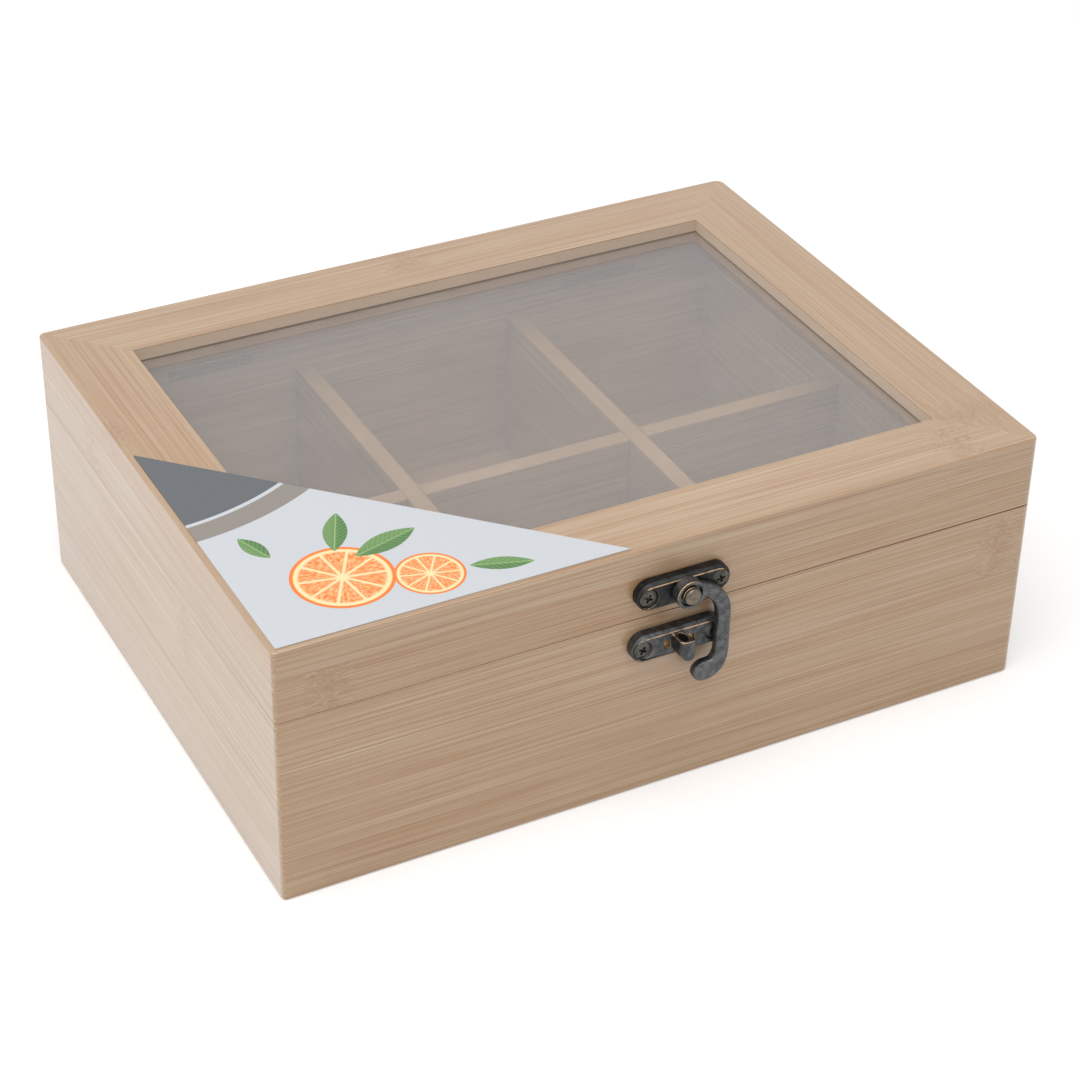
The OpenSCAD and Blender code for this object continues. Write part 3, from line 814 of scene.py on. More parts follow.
def leaf_print(name):
    """A pointed leaf, printed flat. Middle is its centre and Half its vector to the tip."""
    w, given, result = new_group(
        name,
        [("Color", "Color"), ("Position", "Vector"), ("Middle", "Vector"), ("Half", "Vector"),
         ("Width", "Float"), ("Blade", "Color"), ("Vein", "Color")],
        [("Color", "Color")])
    x, y, _ = w.split(w.vector("SUBTRACT", given["Position"], given["Middle"]))
    tip_x, tip_y, _ = w.split(given["Half"])
    half = w.vector("LENGTH", given["Half"])
    unit_x, unit_y = w.math("DIVIDE", tip_x, half), w.math("DIVIDE", tip_y, half)
    along = w.math("MULTIPLY_ADD", x, unit_x, w.math("MULTIPLY", y, unit_y))
    across = w.math("SUBTRACT", w.math("MULTIPLY", y, unit_x), w.math("MULTIPLY", x, unit_y))
    run = w.math("DIVIDE", along, half)
    taper = w.math("SUBTRACT", 1, w.math("MULTIPLY", run, run))
    edge = w.math("MULTIPLY", w.math("MAXIMUM", taper, 0), given["Width"])
    off = w.math("ABSOLUTE", across)
    blade = w.ramp(w.math("SUBTRACT", edge, off), -0.05, 0.12)
    ribs = w.math("SINE", w.math("MULTIPLY", w.math("SUBTRACT", along, off), 4.2))
    tone = w.mix(w.ramp(ribs, 0.55, 1.0, 0, 0.35), given["Blade"], given["Vein"])
    light = w.mix(w.ramp(across, -1.5, 1.5, 0, 0.30), tone, given["Vein"])
    tone = w.mix(w.ramp(off, 0.05, 0.28, 0.85, 0), light, given["Vein"])
    w.feed(result["Color"], w.mix(blade, given["Color"], tone))
    return w.tree


# Slices are (x, y, radius, turn) and leaves (x, y, tip x, tip y, width), in millimetres
# from the card's square corner and along its two legs
FRUIT_SLICES = ((44, 11.5, 8.5, 0.9), (25, 19, 12.5, 0.2))
LEAVES = ((40, 28, 9, 2.5, 3.4), (31, 37, 3.5, 7.5, 3.0), (61, 8, 7.5, -2.5, 2.6),
          (11, 39, -2, 5.5, 2.4))
# The dark corner is the inside of a circle, and the band runs round it
SLATE_CENTRE = (-4, 122, 0)
SLATE_R, BAND_GAP, BAND_W = 67, 1.2, 6.5
# Printed edges blur over this many millimetres
PRINT_BLUR = 0.1


def printed_card():
    """Coated card with a plain print of fruit and leaves beside a dark corner."""
    settings = bpy.context.scene.tea_card
    material, w, shader, _ = new_material("fruit_card")
    place = w.vector("SUBTRACT", object_mm(w), CARD_LOW / MM)
    across, along, _ = w.split(place)
    flat = w.join(across, along)
    fibres = w.noise(flat, scale=2.5, detail=3)
    tone = w.mix(w.ramp(fibres, 0.3, 0.7, 0, 0.35), settings.field, w.scale(settings.field, 0.93))
    for x, y, radius, turn in FRUIT_SLICES:
        tone = w.group(once("fruit_print", fruit_print), color=tone, position=flat,
                       centre=(x, y, 0), radius=radius, turn=turn, flesh=settings.fruit,
                       pith=settings.pith)["Color"]
    for x, y, tip_x, tip_y, width in LEAVES:
        tone = w.group(once("leaf_print", leaf_print), color=tone, position=flat,
                       middle=(x, y, 0), half=(tip_x, tip_y, 0), width=width,
                       blade=settings.leaf, vein=settings.leaf_vein)["Color"]
    away = w.vector("DISTANCE", flat, SLATE_CENTRE)
    band_start, band_end = SLATE_R + BAND_GAP, SLATE_R + BAND_GAP + BAND_W
    band = w.math("MULTIPLY", w.ramp(away, band_start, band_start + PRINT_BLUR),
                  w.ramp(away, band_end, band_end + PRINT_BLUR, 1, 0))
    tone = w.mix(band, tone, settings.taupe)
    tone = w.mix(w.ramp(away, SLATE_R, SLATE_R + PRINT_BLUR, 1, 0), tone, settings.slate)
    w.feed(shader.inputs["Base Color"], tone)
    w.feed(shader.inputs["Roughness"], w.ramp(fibres, 0.3, 0.7, 0.34, 0.46))
    add_bump(w, shader, fibres, CARD_RELIEF, 0.5)
    return material


# ---- Boards ----

# A point this close to a face, a level or the glass counts as on it
NEAR = 5 * TOUCH
# Edges up to this length stay as they are
SHORT_EDGE = 3 * MM
# Each kind of board has its own chance for the tones of its strips
WALL_SEED, BOTTOM_SEED, DIVIDER_SEED, SKIRT_SEED, RAIL_SEED = 3.0, 11.0, 21.0, 33.0, 45.0


def past_corner(point):
    """How far a point lies past a corner's centre, along each side, from inside to outside."""
    return abs(point.x) - (BOX_LENGTH / 2 - CORNER_R), abs(point.y) - (BOX_DEPTH / 2 - CORNER_R)


def on_outside(point):
    """True if a point lies on the box's upright outside, with its round corners."""
    over_x, over_y = past_corner(point)
    away = math.hypot(max(over_x, 0), max(over_y, 0)) + min(max(over_x, over_y), 0)
    return abs(away - CORNER_R) < NEAR


def reshape_corners(shape, settings):
    """Gives each upright corner its own radius."""
    for vertex in shape.verts:
        point = vertex.co
        over = past_corner(point)
        if min(over) > -TOUCH and on_outside(point):
            row = "front" if point.y < 0 else "back"
            side = "left" if point.x < 0 else "right"
            radius = getattr(settings, f"{row}_{side}_r")
            shift = CORNER_R - radius
            vertex.co.x += math.copysign(shift - over[0] * shift / CORNER_R, point.x)
            vertex.co.y += math.copysign(shift - over[1] * shift / CORNER_R, point.y)


def on_mitre(point):
    """True if a point lies in one of the corner joints' 45 degree planes."""
    return abs(abs(point.x) - abs(point.y) - (BOX_LENGTH - BOX_DEPTH) / 2) < NEAR


def on_left(point):
    """True near the box's left side."""
    return point.x < CORNER_R - BOX_LENGTH / 2


def on_lip(point):
    """True on the underside of the rails' lips, over the glass."""
    return 0 < point.z - GLASS_TOP_Z < LIP_REACH


def board_ease(settings, close):
    """The rule that gives a board's edge its rounding; close is for a seam that hardly opens."""
    seam = settings.seam_ease_left if close else settings.seam_ease
    levels = {0.0: settings.foot_ease, SEAM_Z: seam, RAIL_LOW_Z: settings.joint_ease,
              LID_TOP_Z: settings.top_ease}

    def width_of(edge):
        first, second = (vertex.co for vertex in edge.verts)
        if on_mitre(first) and on_mitre(second):
            return settings.mitre_ease
        level = abs(first.z - second.z) < TOUCH
        if level and on_outside(first) and on_outside(second):
            for height, width in levels.items():
                if abs(first.z - height) < NEAR_SEAM:
                    return width
        if level and abs(first.z - LID_TOP_Z) < NEAR:
            return settings.opening_ease
        if on_lip(first) and on_lip(second):
            return settings.joint_ease
        return settings.inner_ease if edge.calc_length() > SHORT_EDGE else 0.0

    return width_of


def make_board(node, body, finish):
    """One board with eased edges, in place of its node."""
    settings = bpy.context.scene.tea_boards
    shape = copy_of(node)
    widest = weigh_edges(shape, board_ease(settings, "left" in node))
    reshape_corners(shape, settings)
    for vertex in shape.verts:
        if abs(vertex.co.z - SEAM_Z) < NEAR_SEAM:
            gap = settings.seam_gap_left if on_left(vertex.co) else settings.seam_gap
            vertex.co.z += gap / 2 * (1 if body == "lid" else -1)
        elif on_lip(vertex.co):
            vertex.co.z = GLASS_TOP_Z + NEAR
    piece = new_piece(node + "_board", shape, body, finish, [node])
    add_bevel(piece, widest)
    return piece


def grain_axis(side):
    """Boards run along the side that they close."""
    return X_AXIS if side in ("front", "back") else Y_AXIS


def make_ring(part, node_form, body, strip, seed, rows):
    """The upright boards on the box's four sides, two with their grain along each axis.

    node_form is a node's name with braces for its side. Each row gives an axis, the bamboo
    joints as (centre, reach) pairs in millimetres, the contrast of the grain and a trim.
    """
    settings = bpy.context.scene.tea_boards
    colours = {X_AXIS: (settings.wall_pale, settings.wall_deep),
               Y_AXIS: (settings.end_pale, settings.end_deep)}
    for number, (axis, knuckles, contrast, trim) in enumerate(rows):
        finish = bamboo(f"bamboo_{part}_{number}", axis, Z_AXIS, *colours[axis], strip,
                        seed + number, knuckles, contrast, trim)
        for side in SIDES:
            if grain_axis(side) == axis:
                make_board(node_form.format(side), body, finish)


class TEABOX_OT_walls(Operator):
    """Makes the four walls of the lower box"""

    bl_idname = "teabox.walls"
    bl_label = "Walls"

    def execute(self, context):
        settings = context.scene.tea_boards
        make_ring("wall", "{}_wall", "box", (settings.strip_w, settings.strip_start),
                  WALL_SEED, [
                      (X_AXIS, [((96, -80, 43), (9, 12, 9.5)), ((-34, 80, 22), (8, 12, 9.5))],
                       0.83, None),
                      (Y_AXIS, [((-105, -22, 42), (12, 8, 9.5)), ((105, 31, 21), (12, 8, 9.5))],
                       0.95, (on_foot, settings.end_foot, 0.5)),
                  ])
        return {"FINISHED"}


class TEABOX_OT_bottom(Operator):
    """Makes the bottom panel"""

    bl_idname = "teabox.bottom"
    bl_label = "Bottom panel"

    def execute(self, context):
        settings = context.scene.tea_boards
        finish = bamboo("bamboo_bottom", X_AXIS, Y_AXIS, settings.inside_pale,
                        settings.inside_deep, (24 * MM, 0), BOTTOM_SEED)
        piece = new_piece("bottom_panel_sheet", copy_of("bottom_panel"), "box",
                          finish, ["bottom_panel"])
        add_bevel(piece, settings.inner_ease, "ANGLE")
        return {"FINISHED"}


class TEABOX_OT_dividers(Operator):
    """Makes the long divider and the two cross dividers"""

    bl_idname = "teabox.dividers"
    bl_label = "Dividers"

    def execute(self, context):
        settings = context.scene.tea_boards
        for number, (axis, nodes) in enumerate((
                (X_AXIS, ["long_divider"]),
                (Y_AXIS, ["cross_divider_" + hand for hand in HANDS]))):
            finish = bamboo(f"bamboo_divider_{number}", axis, Z_AXIS, settings.inside_pale,
                            settings.inside_deep, (22 * MM, 4 * MM), DIVIDER_SEED + number,
                            trim=(on_ridge, settings.ridge, 0.8))
            for node in nodes:
                piece = new_piece(node + "_strip", copy_of(node), "box", finish,
                                  [node])
                add_bevel(piece, settings.inner_ease, "ANGLE")
        return {"FINISHED"}


class TEABOX_OT_skirt(Operator):
    """Makes the four boards under the lid's frame"""

    bl_idname = "teabox.skirt"
    bl_label = "Lid skirt"

    def execute(self, context):
        settings = context.scene.tea_boards
        lower = 6 * MM
        make_ring("skirt", "skirt_{}", "lid",
                  (settings.strip_w, settings.strip_start - lower), SKIRT_SEED, [
                      (X_AXIS, [((-91, -80, 59), (8, 12, 8)), ((52, 80, 59), (8, 12, 8))],
                       0.82, None),
                      (Y_AXIS, [((-105, 40, 59), (12, 8, 8)), ((105, -41, 59), (12, 8, 8))],
                       0.95, None),
                  ])
        return {"FINISHED"}


class TEABOX_OT_frame(Operator):
    """Makes the four rails round the glass"""

    bl_idname = "teabox.frame"
    bl_label = "Lid frame"

    def execute(self, context):
        settings = context.scene.tea_boards
        # A bamboo joint as (centre, reach) in millimetres, and the contrast of the grain
        rows = {"front": (((84, -72, 70), (9, 8, 12)), 0.88),
                "back": (((-1, 75, 70), (9, 8, 12)), 0.75),
                "left": (((-104, 23, 70), (3.5, 9, 12)), 0.64),
                "right": (((93, -62, 70), (12, 10, 12)), 0.55)}
        for number, (side, (knuckle, contrast)) in enumerate(rows.items()):
            axis = grain_axis(side)
            across = Y_AXIS if axis == X_AXIS else X_AXIS
            # The sill trim is painted light: a paler colour on the shaded faces round the glass
            finish = bamboo("bamboo_rail_" + side, axis, across, settings.rail_pale,
                            settings.rail_deep, (34 * MM, 12 * MM), RAIL_SEED + number, [knuckle],
                            contrast, (on_sill, settings.sill, 0.85))
            make_board("rail_" + side, "lid", finish)
        return {"FINISHED"}


# ---- Glass and card ----


class TEABOX_OT_glass(Operator):
    """Makes the pane"""

    bl_idname = "teabox.glass"
    bl_label = "Glass pane"

    def execute(self, context):
        piece = new_piece("glass_pane_sheet", copy_of("glass_pane"), "lid",
                          clear_glass(), ["glass_pane"])
        add_bevel(piece, context.scene.tea_glass.edge_r, "ANGLE", 2)
        return {"FINISHED"}


class TEABOX_OT_card(Operator):
    """Makes the card that lies on the lid"""

    bl_idname = "teabox.card"
    bl_label = "Card"

    def execute(self, context):
        piece = new_piece("label_card_print", copy_of("label_card"), "lid",
                          printed_card(), ["label_card"])
        add_bevel(piece, context.scene.tea_card.edge_r, "ANGLE", 2)
        return {"FINISHED"}


# ---- Latch ----

PLATE_LOW, PLATE_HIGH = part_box("hook_plate")
PLATE_H = PLATE_HIGH.z - PLATE_LOW.z
PLATE_T = FRONT_Y - PLATE_LOW.y
SCREW_LOW, SCREW_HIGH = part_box("hook_plate_screws")
HEAD_R = (SCREW_HIGH.z - SCREW_LOW.z) / 2
SCREW_SPACING = SCREW_HIGH.x - SCREW_LOW.x - 2 * HEAD_R
SCREW_L = SCREW_HIGH.y - SCREW_LOW.y
SHANK_R = 1.1 * MM
HEAD_T = 1.4 * MM
# Cutters reach this far past the faces that they cut
PAST = 1 * MM
# The rivet's bore in its plate, and the pocket for its tail behind
RIVET_BORE_R, TAIL_POCKET_R, TAIL_POCKET_T = 1.45 * MM, 2.25 * MM, 1.0 * MM
# The catch's post: half its width, its height, how thick its front is, how far it stands
# above the plate's middle, its overlap with the plate and its front corners
POST_HALF_W, POST_H, POST_FRONT_T = 2.2 * MM, 5.7 * MM, 1.0 * MM
POST_RISE, POST_OVERLAP, POST_CORNER_R = 0.1 * MM, 0.5 * MM, 1.6 * MM
# The hook comes in from the right, as far as this from the post's middle
WAY_X = 1.2 * MM
# The cup in the post's top: from the post's middle to its left and right, from the post's
# front and from the plate, and its depth
CUP_LEFT, CUP_RIGHT, CUP_FRONT, CUP_BACK = 1.65 * MM, 0.65 * MM, 0.75 * MM, 0.5 * MM
CUP_DEPTH = 3.2 * MM
# The windows beside the post, from its middle
WINDOW_NEAR, WINDOW_W, WINDOW_H, WINDOW_T = 2.5 * MM, 1.7 * MM, 2.3 * MM, 0.9 * MM


def plate_outline(half_length, half_height, inset, steps=20):
    """A plate's outline with round ends, as (x, z) points round its middle."""
    radius = half_height - inset
    run = half_length - half_height
    return arc((run, 0), radius, -90, 90, steps) + arc((-run, 0), radius, 90, 270, steps)


def screw_cutter(top_r, shank_r, flat, head_t, depth):
    """What a countersunk screw's hole takes out of a plate, from y = 0 backwards."""
    profile = [(0, PAST), (top_r, PAST), (top_r, -flat), (shank_r, -flat - head_t),
               (shank_r, -depth), (0, -depth)]
    return turned(lathe(profile), Matrix.Rotation(math.pi / 2, 4, "X"))


def chamfered_plate(node, settings):
    """A latch plate's middle, on the wall, and the plate without its holes."""
    low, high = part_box(node + "_screws")
    centre = Vector(((low.x + high.x) / 2, FRONT_Y, (low.z + high.z) / 2))
    plate_low, plate_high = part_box(node)
    half_l = (plate_high.x - plate_low.x) / 2
    half_h = PLATE_H / 2
    levels = [(0, 0), (0, PLATE_T - settings.plate_chamfer_t), (settings.plate_chamfer_w, PLATE_T)]
    rings = []
    for inset, out in levels:
        rings.append([(centre.x + x, centre.y - out, centre.z + z)
                      for x, z in plate_outline(half_l, half_h, inset)])
    return centre, loft(rings)


def screw_cuts(centre, settings):
    """The steps that cut a plate's two screw holes."""
    cuts = []
    for side in (-1, 1):
        cutter = screw_cutter(HEAD_R + settings.head_gap, SHANK_R + settings.head_gap,
                              settings.head_sink, HEAD_T, PLATE_T + PAST)
        place = Matrix.Translation((centre.x + side * SCREW_SPACING / 2, centre.y - PLATE_T,
                                    centre.z))
        cuts.append(("DIFFERENCE", turned(cutter, place)))
    return cuts


def catch_post(centre):
    """The catch's post: a cup that is open above, with the hook's way in from the right behind."""
    front_y, face_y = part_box("catch_plate")[0].y, FRONT_Y - PLATE_T
    left, right = centre.x - POST_HALF_W, centre.x + POST_HALF_W
    top = centre.z + POST_RISE + POST_H / 2
    # Cutters start well below the post and end well above it
    under, over = top - 2 * POST_H, top + POST_H
    outline = [(right, top), (left, top)]
    outline += arc((centre.x, top - POST_H + POST_HALF_W), POST_HALF_W, 180, 360, 24)
    post = prism(outline, face_y + POST_OVERLAP, front_y)
    # From above, the front corners are round
    plan = [(right, FRONT_Y), (left, FRONT_Y)]
    plan += arc((left + POST_CORNER_R, front_y + POST_CORNER_R), POST_CORNER_R, 180, 270, 10)
    plan += arc((right - POST_CORNER_R, front_y + POST_CORNER_R), POST_CORNER_R, 270, 360, 10)
    bar = loft([[(x, y, z) for x, y in plan] for z in (under, over)])
    way = block((centre.x + WAY_X, front_y + POST_FRONT_T, under),
                (centre.x + 2 * POST_HALF_W, face_y, over))
    cup_low = (centre.x - CUP_LEFT, front_y + CUP_FRONT)
    cup_high = (centre.x + CUP_RIGHT, face_y - CUP_BACK)
    mid_x, mid_y = ((a + b) / 2 for a, b in zip(cup_low, cup_high))
    half_x, half_y = ((b - a) / 2 for a, b in zip(cup_low, cup_high))
    profile = [(0, -CUP_DEPTH), (0.7, -0.9 * CUP_DEPTH), (1, -0.6 * CUP_DEPTH), (1, POST_H),
               (0, POST_H)]
    hollow = turned(lathe(profile, 32), Matrix.Translation((mid_x, mid_y, top))
                    @ Matrix.Diagonal((half_x, half_y, 1, 1)))
    return combined(post, [("INTERSECT", bar), ("DIFFERENCE", way), ("DIFFERENCE", hollow)])


def window_steps(centre):
    """The steps that cut the two small windows beside the post."""
    steps = []
    face_y = FRONT_Y - PLATE_T
    for side in (-1, 1):
        left, right = sorted((centre.x + side * WINDOW_NEAR,
                              centre.x + side * (WINDOW_NEAR + WINDOW_W)))
        window = block((left, face_y - PAST, centre.z - WINDOW_H / 2),
                       (right, face_y + WINDOW_T, centre.z + WINDOW_H / 2))
        steps.append(("DIFFERENCE", window))
    return steps


# Edges in front of a plate's face by this much are the post's; how near the rim's rounding lies to
# the rim; and the marks of the plates' parts: wear on the window floors, and wear with a painted
# highlight on rounded edges
POST_OUT, RIM_REACH = 0.5 * MM, 0.3 * MM
RIM_WEAR_AND_GLINT, POST_WEAR_AND_GLINT, WINDOW_WEAR, OTHER_WEAR_AND_GLINT = 1.1, 0.8, 0.55, 0.25


def plate_wear(node, centre, settings):
    """The wear and painted highlight of a latch plate: its face's upper and left rim, its post's
    rim; and the wear of its windows.
    """
    plate_low, plate_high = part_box(node)
    run = (plate_high.x - plate_low.x - PLATE_H) / 2
    rim_r = PLATE_H / 2 - settings.plate_chamfer_w
    window_x = WINDOW_NEAR + WINDOW_W / 2

    def wear_at(place, normal, rounded):
        x, z = place.x - centre.x, place.z - centre.z
        out = FRONT_Y - PLATE_T - place.y
        if out < -RIM_REACH:
            in_window = abs(abs(x) - window_x) < WINDOW_W and abs(z) < 0.6 * WINDOW_H
            in_view = out > -WINDOW_T - 0.1 * MM
            return WINDOW_WEAR if in_window and in_view and not rounded else 0.0
        if not rounded:
            return 0.0
        # Edges that face up and to the left take the most: wear, and a painted highlight where the
        # light falls
        rub_and_glint = 0.1 + normal.dot(RUB_AND_GLINT_FROM)
        if out > POST_OUT:
            return POST_WEAR_AND_GLINT * rub_and_glint
        on_rim = abs(math.hypot(max(abs(x) - run, 0), z) - rim_r) < RIM_REACH
        return (RIM_WEAR_AND_GLINT if on_rim else OTHER_WEAR_AND_GLINT) * rub_and_glint

    return wear_at


def rivet_steps(centre):
    """The step that cuts the rivet's bore, with the pocket for its tail."""
    bore = lathe([(0, -PLATE_T - PAST), (RIVET_BORE_R, -PLATE_T - PAST),
                  (RIVET_BORE_R, -TAIL_POCKET_T), (TAIL_POCKET_R, -TAIL_POCKET_T),
                  (TAIL_POCKET_R, PAST), (0, PAST)])
    place = Matrix.Translation(centre) @ Matrix.Rotation(-math.pi / 2, 4, "X")
    return [("DIFFERENCE", turned(bore, place))]


def make_plate(node, body, tone, own_steps):
    """One of the latch's plates; own_steps gives what it has besides its screw holes."""
    settings = bpy.context.scene.tea_metal
    finish = latch_finish(node, tone)
    centre, base = chamfered_plate(node, settings)
    shape = combined(base, screw_cuts(centre, settings) + own_steps(centre))
    rub_edges(shape, settings.edge_r, plate_wear(node, centre, settings))
    shade_evenly(new_piece(node + "_cast", shape, body, finish, [node]))


class TEABOX_OT_plates(Operator):
    """Makes the hook's plate on the lid and the catch plate with its post on the box"""

    bl_idname = "teabox.plates"
    bl_label = "Latch plates"

    def execute(self, context):
        # The catch plate's paler tone is painted glare
        make_plate("hook_plate", "lid", HOOK_PLATE_TONE, rivet_steps)
        make_plate("catch_plate", "box", CATCH_PLATE_GLARE_TONE,
                   lambda centre: window_steps(centre) + [("UNION", catch_post(centre))])
        return {"FINISHED"}


# The hook's middle line, in millimetres from its pivot: a quarter bend, a straight arm, and a
# curve that ends in the round tip
BEND_CENTRE, BEND_R = (1.0, -8.7), 9.0
ARM_END_Z = -18.3
TIP_CURVE = ((10.0, ARM_END_Z), (10.0, -22.4), (8.5, -24.7), (5.1, -24.7))
ARM_HALF_W, TIP_HALF_W = 1.9, 2.9
# Chamfer along the arm's back
ARM_FOOT = 0.25
# Steps along each part of the line
BEND_STEPS, ARM_STEPS, TIP_STEPS = 28, 6, 18
# How much thinner than the hub the arm is, so that their fronts don't share a plane
ARM_BACK = 0.06 * MM
# The hub, the cup in its front, the low boss in the cup and the bore
HUB_R, CUP_R, CUP_T, BOSS_R, HOOK_BORE_R = 3.9 * MM, 3.15 * MM, 1.1 * MM, 2.3 * MM, 1.5 * MM
# The hub's rims lie within this of the pivot
HUB_REACH = 4.2 * MM


def hook_line():
    """The hook's middle line as (x, z, half width) in millimetres from the pivot."""
    line = [(x, z, ARM_HALF_W) for x, z in arc(BEND_CENTRE, BEND_R, 95, 0, BEND_STEPS)]
    arm_l = ARM_END_Z - BEND_CENTRE[1]
    line += [(line[-1][0], BEND_CENTRE[1] + arm_l * step / ARM_STEPS, ARM_HALF_W)
             for step in range(1, ARM_STEPS + 1)]
    for step in range(1, TIP_STEPS + 1):
        t = step / TIP_STEPS
        weights = ((1 - t) ** 3, 3 * t * (1 - t) ** 2, 3 * t * t * (1 - t), t ** 3)
        x, z = (sum(w * point[axis] for w, point in zip(weights, TIP_CURVE)) for axis in (0, 1))
        line.append((x, z, ARM_HALF_W + (TIP_HALF_W - ARM_HALF_W) * t * t * (3 - 2 * t)))
    return line


def shoulder(inwards, thickness, across, down):
    """Height of a rounded bar's front at a distance inwards from its outline."""
    share = 1 - min(inwards / across, 1)
    return thickness - down * (1 - math.sqrt(max(0, 1 - share * share)))


def bar_ring(half_w, beyond, thickness, across, down, steps=14):
    """A section of a rounded bar as (across, height) points, some way beyond the tip's centre."""
    reach = math.sqrt(half_w ** 2 - beyond ** 2)
    foot = min(ARM_FOOT, reach / 2)
    ring = []
    for step in range(steps + 1):
        off = -reach * math.cos(math.pi * step / steps)
        ring.append((off, shoulder(half_w - math.hypot(off, beyond), thickness, across, down)))
    return ring + [(reach, foot), (reach - foot, 0), (foot - reach, 0), (-reach, foot)]


def hook_arm(settings, thickness):
    """The hook's arm as a bar with a rounded front, at its place."""
    across, down = settings.arm_round_w / MM, settings.arm_round_t / MM
    line = hook_line()
    sections = []
    for number, (x, z, half_w) in enumerate(line):
        before, after = line[max(number - 1, 0)], line[min(number + 1, len(line) - 1)]
        run = Vector((after[0] - before[0], after[1] - before[1])).normalized()
        sections.append((Vector((x, z)), run, half_w, 0.0))
    centre, run, half_w, _ = sections[-1]
    for angle in range(12, 85, 12):
        beyond = half_w * math.sin(math.radians(angle))
        sections.append((centre + run * beyond, run, half_w, beyond))
    rings = []
    for place, run, half_w, beyond in sections:
        side = Vector((-run.y, run.x))
        rings.append([Vector((PIVOT.x, HOOK_BACK_Y, PIVOT.z))
                      + Vector((place.x + side.x * off, -height, place.y + side.y * off)) * MM
                      for off, height in bar_ring(half_w, beyond, thickness / MM, across, down)])
    return loft(rings)


def hub_wear(place, normal, rounded):
    """The wear and painted highlight of the hook: the rims of its hub, on the upper left."""
    out = Vector((place.x - PIVOT.x, place.z - PIVOT.z))
    if not rounded or out.length > HUB_REACH:
        return 0.0
    # Rims that face up and to the left take the mark: wear, and a painted highlight where the light
    # falls
    return 1.6 * (out.normalized().dot(Vector((-0.6, 0.8))) - 0.4)


class TEABOX_OT_hook(Operator):
    """Makes the swinging hook, with the cup round its rivet"""

    bl_idname = "teabox.hook"
    bl_label = "Hook"

    def execute(self, context):
        settings = context.scene.tea_metal
        thickness = HOOK_BACK_Y - HOOK_FRONT_Y
        hub = lathe([(0, 0), (HUB_R, 0), (HUB_R, thickness), (0, thickness)], 64)
        cup = lathe([(BOSS_R, -CUP_T), (CUP_R - 0.2 * MM, -CUP_T), (CUP_R, PAST), (BOSS_R, PAST),
                     (BOSS_R, -CUP_T)], 64)
        bore = lathe([(0, -PAST), (HOOK_BORE_R, -PAST), (HOOK_BORE_R, thickness + PAST),
                      (0, thickness + PAST)])
        upright = Matrix.Rotation(math.pi / 2, 4, "X")
        back = Matrix.Translation((PIVOT.x, HOOK_BACK_Y, PIVOT.z)) @ upright
        front = Matrix.Translation((PIVOT.x, HOOK_FRONT_Y, PIVOT.z)) @ upright
        arm = hook_arm(settings, thickness - ARM_BACK)
        shape = combined(turned(hub, back), [("UNION", arm), ("DIFFERENCE", turned(cup, front)),
                                             ("DIFFERENCE", turned(bore, back))])
        rub_edges(shape, settings.edge_r, hub_wear)
        # The hook's paler tone is painted glare
        shade_evenly(new_piece("swing_hook_cast", shape, "hook",
                               latch_finish("swing_hook", HOOK_GLARE_TONE), ["swing_hook"]))
        return {"FINISHED"}


class TEABOX_OT_rivet(Operator):
    """Makes the rivet with its low dished head"""

    bl_idname = "teabox.rivet"
    bl_label = "Rivet"

    def execute(self, context):
        low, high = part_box("hook_rivet")
        shank_r, head_r, head_t, tail_r, tail_t = 1.4 * MM, 2.2 * MM, 1.4 * MM, 2.2 * MM, 0.8 * MM
        total = high.y - low.y
        # From the peened tail, at 0, to the head's crown; the crown has a shallow dimple
        shank_end = total - head_t
        crown_start, crown_t = shank_end + 0.55 * MM, 0.85 * MM
        profile = [(0, 0), (tail_r - 0.2 * MM, 0), (tail_r, 0.2 * MM), (tail_r, tail_t),
                   (shank_r, tail_t), (shank_r, shank_end), (head_r - 0.1 * MM, shank_end),
                   (head_r, shank_end + 0.15 * MM), (head_r, crown_start)]
        crown = [(head_r * math.cos(math.radians(a)),
                  crown_start + crown_t * math.sin(math.radians(a))) for a in range(12, 73, 12)]
        dimple = [(0.55 * MM, total - 0.03 * MM), (0.42 * MM, total - 0.16 * MM),
                  (0, total - 0.2 * MM)]
        place = (Matrix.Translation((PIVOT.x, high.y, PIVOT.z))
                 @ Matrix.Rotation(math.pi / 2, 4, "X"))
        shape = turned(lathe(profile + crown + dimple), place)
        shade_evenly(new_piece("hook_rivet_turned", shape, "lid",
                               screw_finish("worn_rivet", RIVET_TONE, 0.16), ["hook_rivet"]))
        return {"FINISHED"}


# ---- Screws ----

# Height of a screw's domed top, as a share of its head's
DOME_SHARE = 0.12


